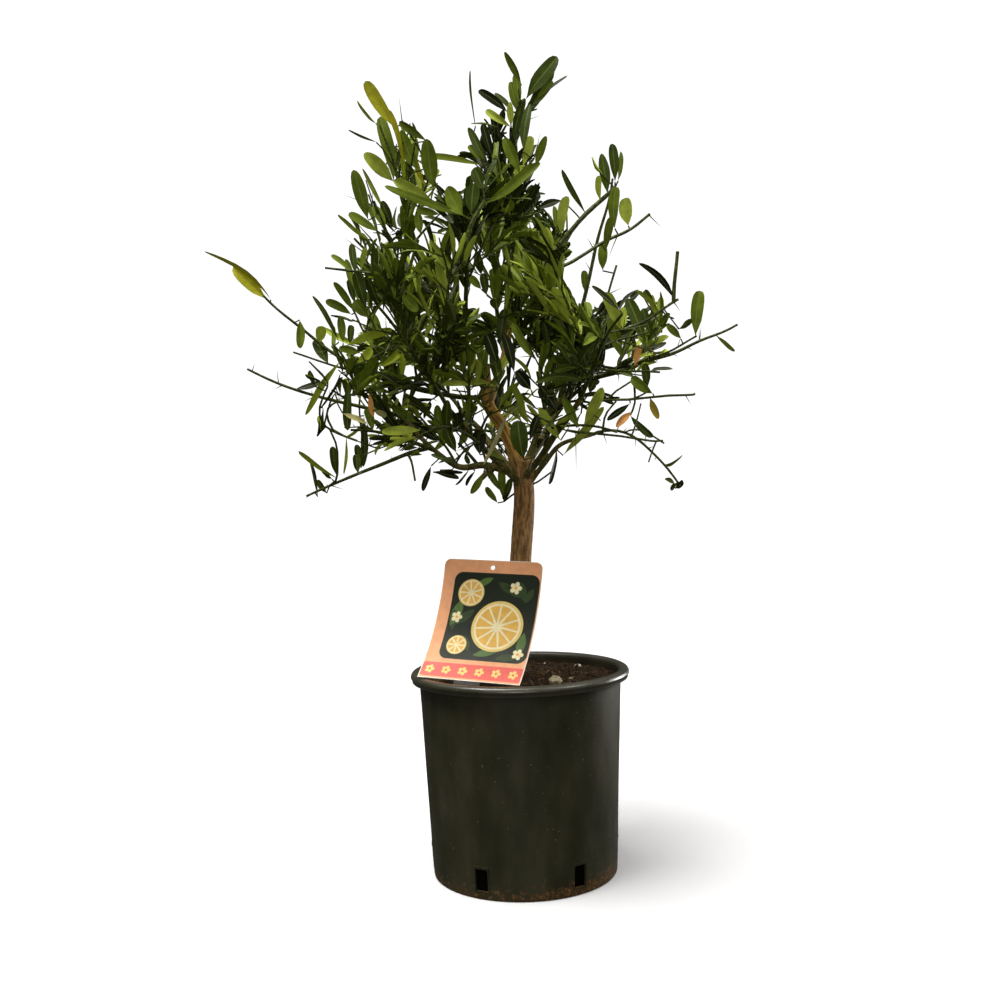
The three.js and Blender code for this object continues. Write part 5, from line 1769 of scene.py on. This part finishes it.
def pot_material(name):
    """Dull black plastic, a little mottled, with pale specks, dust and dried soil low down."""
    roughness, specular = PLASTIC[name]
    made, tree, inputs = new_material(name, specular)
    noises = {key: grain(tree, *row) for key, row in GRAINS.items() if key.startswith("pot")}
    place = add_node(tree, "ShaderNodeTexCoord").outputs["Object"]
    axes = add_node(tree, "ShaderNodeSeparateXYZ", {"Vector": place}).outputs
    low_down = spread(tree, axes["Z"], *SPREADS["dirt_low_down"])
    rightwards = spread(tree, axes["X"], *SPREADS["dirt_rightwards"])
    caked = product(tree, product(tree, low_down, noises["pot_dirt"]), rightwards)
    plastic = ramp(tree, noises["pot_mottle"], colour_stops(STOPS["plastic"]))
    specks = spread(tree, noises["pot_specks"], *SPREADS["pot_specks"])
    dusty = blended(tree, specks, plastic, rgb(*SPECK_COLOUR))
    dried = ramp(tree, noises["pot_dried_soil"], colour_stops(STOPS["dried_soil"]))
    colour = blended(tree, spread(tree, caked, *SPREADS["dirt"]), dusty, dried)
    rough = spread(tree, noises["pot_roughness"], *roughness)
    fit_shader(tree, inputs, colour, rough, noises["pot_relief"], POT_RELIEF)
    return made


# Soil
def soil_level(x, y):
    """The height of the soil's lumpy top at each place."""
    level = SOIL["top"] + SOIL["mound"] * np.exp(-((np.hypot(x, y) / SOIL["mound_radius"]) ** 2))
    lumps = [
        sum(height * noise.noise(Vector((a / size, b / size, cut))) for size, height, cut in SOIL_RELIEF)
        for a, b in zip(x, y)
    ]
    return level + np.array(lumps)


def soil_level_at(x, y):
    return soil_level(np.array([x], float), np.array([y], float))[0]


def soil_edge(height):
    """The soil's radius where it meets the inside of the wall."""
    return wall_radius(height) - POT["wall"] - SOIL["gap"]


def make_soil():
    """The soil that fills the pot, with a lumpy top."""
    floor = POT["floor"] + SOIL["gap"]
    radii = np.linspace(soil_edge(SOIL["top"]), 1, SOIL["rings"])
    foot, middle = soil_edge(floor), SOIL["middle_ring"]
    low = [[0, floor], [foot * SOIL["sole_ring"], floor], [foot, floor], [soil_edge(middle), middle]]
    top = np.column_stack([radii, np.full(len(radii), SOIL["top"])])
    points, faces = lathe(np.concatenate([low, top, [[0, SOIL["top"]]]]), SOIL["sides"])
    on_top = points[:, 2] == SOIL["top"]
    points[on_top, 2] = soil_level(points[on_top, 0], points[on_top, 1])
    batch = Batch()
    # Faces below the shaded level take the near-black soil, painted shade for the pot's dark inside
    batch.add(points, faces, [int(points[face, 2].max() < SOIL["shaded_below"]) for face in faces])
    materials = [plain_material("soil_bed"), plain_material("soil_painted_shade")]
    make_piece("soil_bed", batch, materials, ["soil"], ALL_SMOOTH)


def lump(x, y, size, seed, subdivisions, raised):
    """An uneven stone or crumb that lies on the soil, its middle raised by a share of its size."""
    bm = bmesh.new()
    bmesh.ops.create_icosphere(bm, subdivisions=subdivisions, radius=1)
    points = np.array([vert.co for vert in bm.verts])
    faces = [[vert.index for vert in face.verts] for face in bm.faces]
    bm.free()
    shift = Vector([seed * step for step in LUMP["seed_steps"]] + [0])
    grow = [1 + LUMP["uneven"] * noise.noise(Vector(p * LUMP["scale"]) + shift) for p in points]
    turn = np.array(Euler([seed * step for step in LUMP["turns"]]).to_matrix())
    centre = np.array([x, y, soil_level_at(x, y) + raised * size])
    return centre + (points * np.array(grow)[:, None] * size) @ turn.T * np.array(LUMP["stretch"]), faces


def draw_place(draw, inset):
    """An angle and a radius drawn evenly over the soil."""
    angle = draw() * 2 * math.pi
    return angle, (soil_edge(SOIL["top"]) - inset) * math.sqrt(draw())


def make_crumbs(draw):
    """Crumbs of the soil in three shades, none under the trunk."""
    batch = Batch()
    for i in range(CRUMB["count"]):
        angle, radius = draw_place(draw, CRUMB["inset"])
        size = mix(*CRUMB["size"], draw() ** CRUMB["bias"])
        if radius < CRUMB["clear"]:
            continue
        subdivisions = 1 if size < CRUMB["fine"] else 2
        x, y = radius * math.cos(angle), radius * math.sin(angle)
        points, faces = lump(x, y, size, i, subdivisions, CRUMB["raised"])
        batch.add(points, faces, [int(len(CRUMB_SHADES) * draw())] * len(faces))
    materials = [plain_material("soil_bed", name, change) for name, change in CRUMB_SHADES.items()]
    make_piece("crumbs", batch, materials, (), LITTER_SMOOTH)


def make_fibres(draw):
    """Thin curved fibres of bark, pale and dark."""
    batch = Batch()
    steps = np.linspace(0, 1, FIBRE["points"])
    faces = bands(FIBRE["points"], FIBRE["sides"])
    for _ in range(FIBRE["count"]):
        angle, radius = draw_place(draw, FIBRE["inset"])
        heading = draw() * 2 * math.pi
        length, curl = mix(*FIBRE["length"], draw()), mix(*FIBRE["curl"], draw())
        if radius < FIBRE["clear"]:
            continue
        x = radius * math.cos(angle) + length * steps * np.cos(heading + curl * steps)
        y = radius * math.sin(angle) + length * steps * np.sin(heading + curl * steps)
        arch = FIBRE["arch"] * np.sin(math.pi * steps) * draw()
        centres = np.column_stack([x, y, soil_level(x, y) + FIBRE["raised"] + arch])
        radii = mix(*FIBRE["radius"], draw()) * (FIBRE["taper"][0] - FIBRE["taper"][1] * steps)
        batch.add(tube(centres, radii, FIBRE["sides"]).reshape(-1, 3), faces, [int(2 * draw())] * len(faces))
    materials = [plain_material("fibre_pale"), plain_material("fibre_dark")]
    make_piece("fibres", batch, materials, (), LITTER_SMOOTH)


def make_stones():
    """Pale stones and white bits."""
    batch = Batch()
    for seed, (x, y, size, kind) in enumerate(STONES, STONE["first_seed"]):
        points, faces = lump(x, y, size, seed, STONE["subdivisions"], STONE["raised"])
        batch.add(points, faces, [kind] * len(faces))
    materials = [plain_material("stone"), plain_material("perlite")]
    make_piece("stones", batch, materials, (), LITTER_SMOOTH)


def make_litter():
    """All that lies on the soil, from one stream of numbers."""
    draw = random_stream(SOIL["seed"])
    make_crumbs(draw)
    make_fibres(draw)
    make_stones()


# Plant label
def label_place(across, out, up):
    """Lays flat points on the label: it leans back in an even curve, and its stake turns down into soil."""
    step = LABEL["step"]
    levels = np.arange(-LABEL["stake_bend"] - LABEL["stake_straight"], LABEL["height"] + step, step)
    bend_share = np.clip(-levels / LABEL["stake_bend"], 0, 1)
    card_lean = mix(LABEL["foot_lean"], LABEL["top_lean"], levels / LABEL["height"])
    leans = np.radians(np.where(levels >= 0, card_lean, LABEL["foot_lean"] * (1 - bend_share)))
    lean = np.interp(up, levels, leans)
    places = []
    for part in (np.sin, np.cos):
        path = np.concatenate([[0], np.cumsum(part((leans[1:] + leans[:-1]) / 2) * step)])
        places.append(np.interp(up, levels, path - np.interp(0, levels, path)))
    local = np.column_stack([across, places[0] + np.cos(lean) * out, places[1] - np.sin(lean) * out])
    turn = Matrix.Rotation(math.radians(-LABEL["turn"]), 3, "Z")
    roll = Matrix.Rotation(math.radians(LABEL["roll"]), 3, "Y")
    return np.array(LABEL["edge"]) + local @ np.array(turn @ roll).T


def card_loops(inset, low):
    """The card's outline, drawn in by an inset from a lower edge on, and the hole near its top."""
    half, top = LABEL["width"] / 2 - inset, LABEL["height"] - inset
    card = rounded_box(-half, low, half, top, LABEL["corner"] - inset, (False, True, True, False))
    hole = circle(0, LABEL["height"] - LABEL["hole_drop"], LABEL["hole_radius"] + inset, LABEL["hole_points"])
    return card, hole


def label_outline():
    """The card with its stake, and the hole near its top."""
    card, hole = card_loops(0, 0)
    stake, tip = LABEL["stake_width"] / 2, LABEL["stake_tip_width"] / 2
    low = -LABEL["stake_bend"] - LABEL["stake_straight"]
    foot = [(-stake, 0), (-stake, low / 2), (-tip, low), (tip, low), (stake, low / 2), (stake, 0)]
    return [np.concatenate([card, foot]), hole]


def leaf_outline(across, up, angle, length, width):
    """A pointed leaf drawn from its foot."""
    t = np.linspace(0, 1, PRINT_LEAF["points"])
    half = width / 2 * np.sin(math.pi * t) ** PRINT_LEAF["fullness"]
    along = np.concatenate([t, t[-2:0:-1]]) * length
    aside = np.concatenate([half, -half[-2:0:-1]])
    cos, sin = math.cos(math.radians(angle)), math.sin(math.radians(angle))
    return np.column_stack([across + along * cos - aside * sin, up + along * sin + aside * cos])


def blossom_outline(across, up, radius):
    """A flower of round petals."""
    angles = turns(BLOSSOM["points"])
    petals = np.abs(np.cos(BLOSSOM["petals"] / 2 * angles)) ** BLOSSOM["fullness"]
    return ring(across, up, radius * (1 - BLOSSOM["notch"] + BLOSSOM["notch"] * petals), angles)


def wedges(across, up, radius, count):
    """The segments of a cut fruit, with narrow gaps between them."""
    inner, outer = SLICE["inner"] * radius, SLICE["outer"] * radius
    edges = np.radians(SLICE["turn"] * count + np.arange(count + 1) * (360 / count))
    made = []
    for low, high in zip(edges[:-1], edges[1:]):
        angles = np.linspace(low + SLICE["gap"] / outer, high - SLICE["gap"] / outer, SLICE["arc_points"])
        point = np.array([max(high - SLICE["gap"] / inner, (low + high) / 2)])
        made.append(np.concatenate([ring(across, up, outer, angles), ring(across, up, inner, point)]))
    return made


def add_print(prints, colour, layer, *outlines):
    """Adds flat print to the label's front, a thin layer over those below it."""
    for outline in outlines:
        add_layer(prints[colour], [outline], layer)


def add_layer(batch, loops, layer):
    face = LABEL["thickness"] / 2
    shape = flat_shape(loops, -face + PRINT_DEPTH, -face - PRINT_LAYER * layer, LABEL["strip"], label_place)
    batch.add(*shape)


def add_blossom(prints, colours, layer, across, up, radius):
    """A printed flower with its eye."""
    add_print(prints, colours[0], layer, blossom_outline(across, up, radius))
    eye = circle(across, up, radius * BLOSSOM["eye"], BLOSSOM["eye_points"])
    add_print(prints, colours[1], layer + 1, eye)


def make_label():
    """The card and its print: cut fruit, leaves and blossoms on a dark panel, over a coral band."""
    card = Batch()
    face = LABEL["thickness"] / 2
    card.add(*flat_shape(label_outline(), -face, face, LABEL["strip"], label_place))
    white = print_material("card", CARD_WHITE)
    make_piece("label_card", card, [white], ["plant_label"], CARD_SMOOTH)
    prints = {name: Batch() for name in PRINT_COLOURS}
    layers = PRINT_LAYERS
    add_layer(prints["peach"], card_loops(PRINT_EDGE, PRINT_FOOT), layers["edge"])
    # A dark sheet over both faces of the stake's top: painted shade where the stake stands in the pot's shade
    half, low = LABEL["stake_width"] / 2 + STAKE_SHADE_SHEET["wider"], -LABEL["stake_bend"] / 2
    shaded_stake = [(-half, STAKE_SHADE_SHEET["top"]), (-half, low), (half, low), (half, STAKE_SHADE_SHEET["top"])]
    shape = flat_shape([shaded_stake], face + PRINT_LAYER, -face - PRINT_LAYER, LABEL["strip"], label_place)
    prints["painted_stake_shade"].add(*shape)
    add_print(prints, "dark", layers["panel"], rounded_box(*PANEL))
    for across, up, angle, length, width in PANEL_LEAVES:
        green = "leaf" if angle % 2 else "shade"
        add_print(prints, green, layers["leaves"], leaf_outline(across, up, angle, length, width))
    for across, up, radius, count in PANEL_SLICES:
        add_print(prints, "cream", layers["slices"], circle(across, up, radius, SLICE["points"]))
        pith = circle(across, up, radius * SLICE["pith"], SLICE["points"])
        add_print(prints, "pith", layers["pith"], pith)
        add_print(prints, "flesh", layers["flesh"], *wedges(across, up, radius, count))
    for row in PANEL_BLOSSOMS:
        add_blossom(prints, ("pith", "flesh"), layers["blossoms"], *row)
    add_print(prints, "coral", layers["band"], rounded_box(*BAND))
    for k in range(BAND_BLOSSOMS["count"]):
        place = (BAND_BLOSSOMS["first"] + BAND_BLOSSOMS["apart"] * k, BAND_BLOSSOMS["up"])
        add_blossom(prints, ("cream", "coral"), layers["band_blossoms"], *place, BAND_BLOSSOMS["radius"])
    for name, batch in prints.items():
        ink = print_material(name, PRINT_COLOURS[name])
        make_piece("label_" + name, batch, [ink], (), PRINT_SMOOTH)


def print_material(name, colour):
    """Printed plastic card: even, a little mottled, half glossy."""
    return surface("label_" + name, shade_stops(rgb(*colour), CARD_SHADES), *CARD_LOOK)


# Stage
def make_camera():
    lens = bpy.data.cameras.new("camera")
    lens.lens = CAMERA["lens"]
    lens.sensor_width = CAMERA["sensor"]
    lens.clip_end = CAMERA["sees_to"]
    camera = link(bpy.data.objects.new("camera", lens))
    camera.location = Vector(CAMERA["place"]) * MM
    aim = Euler((math.radians(90 - CAMERA["down"]), 0, 0)).to_matrix()
    camera.rotation_euler = (aim @ Matrix.Rotation(math.radians(CAMERA["roll"]), 3, "Z")).to_euler()
    bpy.context.scene.camera = camera


def make_stage():
    """A pale floor, a broad parallel light from the upper left, and lamps in front, right and behind."""
    side = FLOOR_SIDE / 2
    ground = Batch()
    ground.add([(-side, -side, 0), (side, -side, 0), (side, side, 0), (-side, side, 0)], [(0, 1, 2, 3)])
    floor = ground.made("floor")
    paint, _, inputs = new_material("floor", 0)
    inputs["Base Color"].default_value = FLOOR_COLOUR
    inputs["Emission Color"].default_value = (1, 1, 1, 1)
    inputs["Emission Strength"].default_value = FLOOR_GLOW
    inputs["Roughness"].default_value = FLOOR_ROUGHNESS
    floor.data.materials.append(paint)
    floor.visible_diffuse = False
    floor.visible_glossy = False
    key = bpy.data.lights.new("key", "SUN")
    key.angle = math.radians(SUN["degrees"])
    key.energy = SUN["strength"]
    key.color = SUN["colour"]
    sun = link(bpy.data.objects.new("key", key))
    sun.rotation_euler = Vector(SUN["from"]).to_track_quat("Z", "Y").to_euler()
    for row in LAMPS:
        light = bpy.data.lights.new(row["name"], "AREA")
        light.shape = "DISK"
        light.size = row["size"] * MM
        light.energy = row["power"]
        light.color = row["colour"]
        lamp = link(bpy.data.objects.new(row["name"], light))
        lamp.location = Vector(row["place"]) * MM
        lamp.rotation_euler = (Vector(LAMP_AIM) * MM - lamp.location).to_track_quat("-Z", "Y").to_euler()


def make_world():
    """A sky that is brightest overhead and dim at the sides, and white where the camera sees it."""
    world = bpy.data.worlds.new("studio")
    bpy.context.scene.world = world
    world.use_nodes = True
    tree = world.node_tree
    sky = tree.nodes["Background"]
    place = add_node(tree, "ShaderNodeTexCoord").outputs["Generated"]
    height = add_node(tree, "ShaderNodeSeparateXYZ", {"Vector": place}).outputs["Z"]
    tree.links.new(spread(tree, height, WORLD_SIDE, WORLD_TOP, *WORLD_SPAN), sky.inputs["Strength"])
    seen = add_node(tree, "ShaderNodeBackground", {"Strength": WORLD_SEEN})
    sky.inputs["Color"].default_value = WORLD_COLOUR
    seen.inputs["Color"].default_value = (1, 1, 1, 1)
    is_camera = add_node(tree, "ShaderNodeLightPath").outputs["Is Camera Ray"]
    both = add_node(tree, "ShaderNodeMixShader", {0: is_camera, 1: sky.outputs[0], 2: seen.outputs[0]})
    tree.links.new(both.outputs[0], tree.nodes["World Output"].inputs["Surface"])
    bpy.context.scene.view_settings.view_transform = "Standard"


make_camera()
make_world()
make_stage()
make_pot()
make_slot_frames()
make_soil()
make_litter()
make_label()
make_bark()
make_crown()
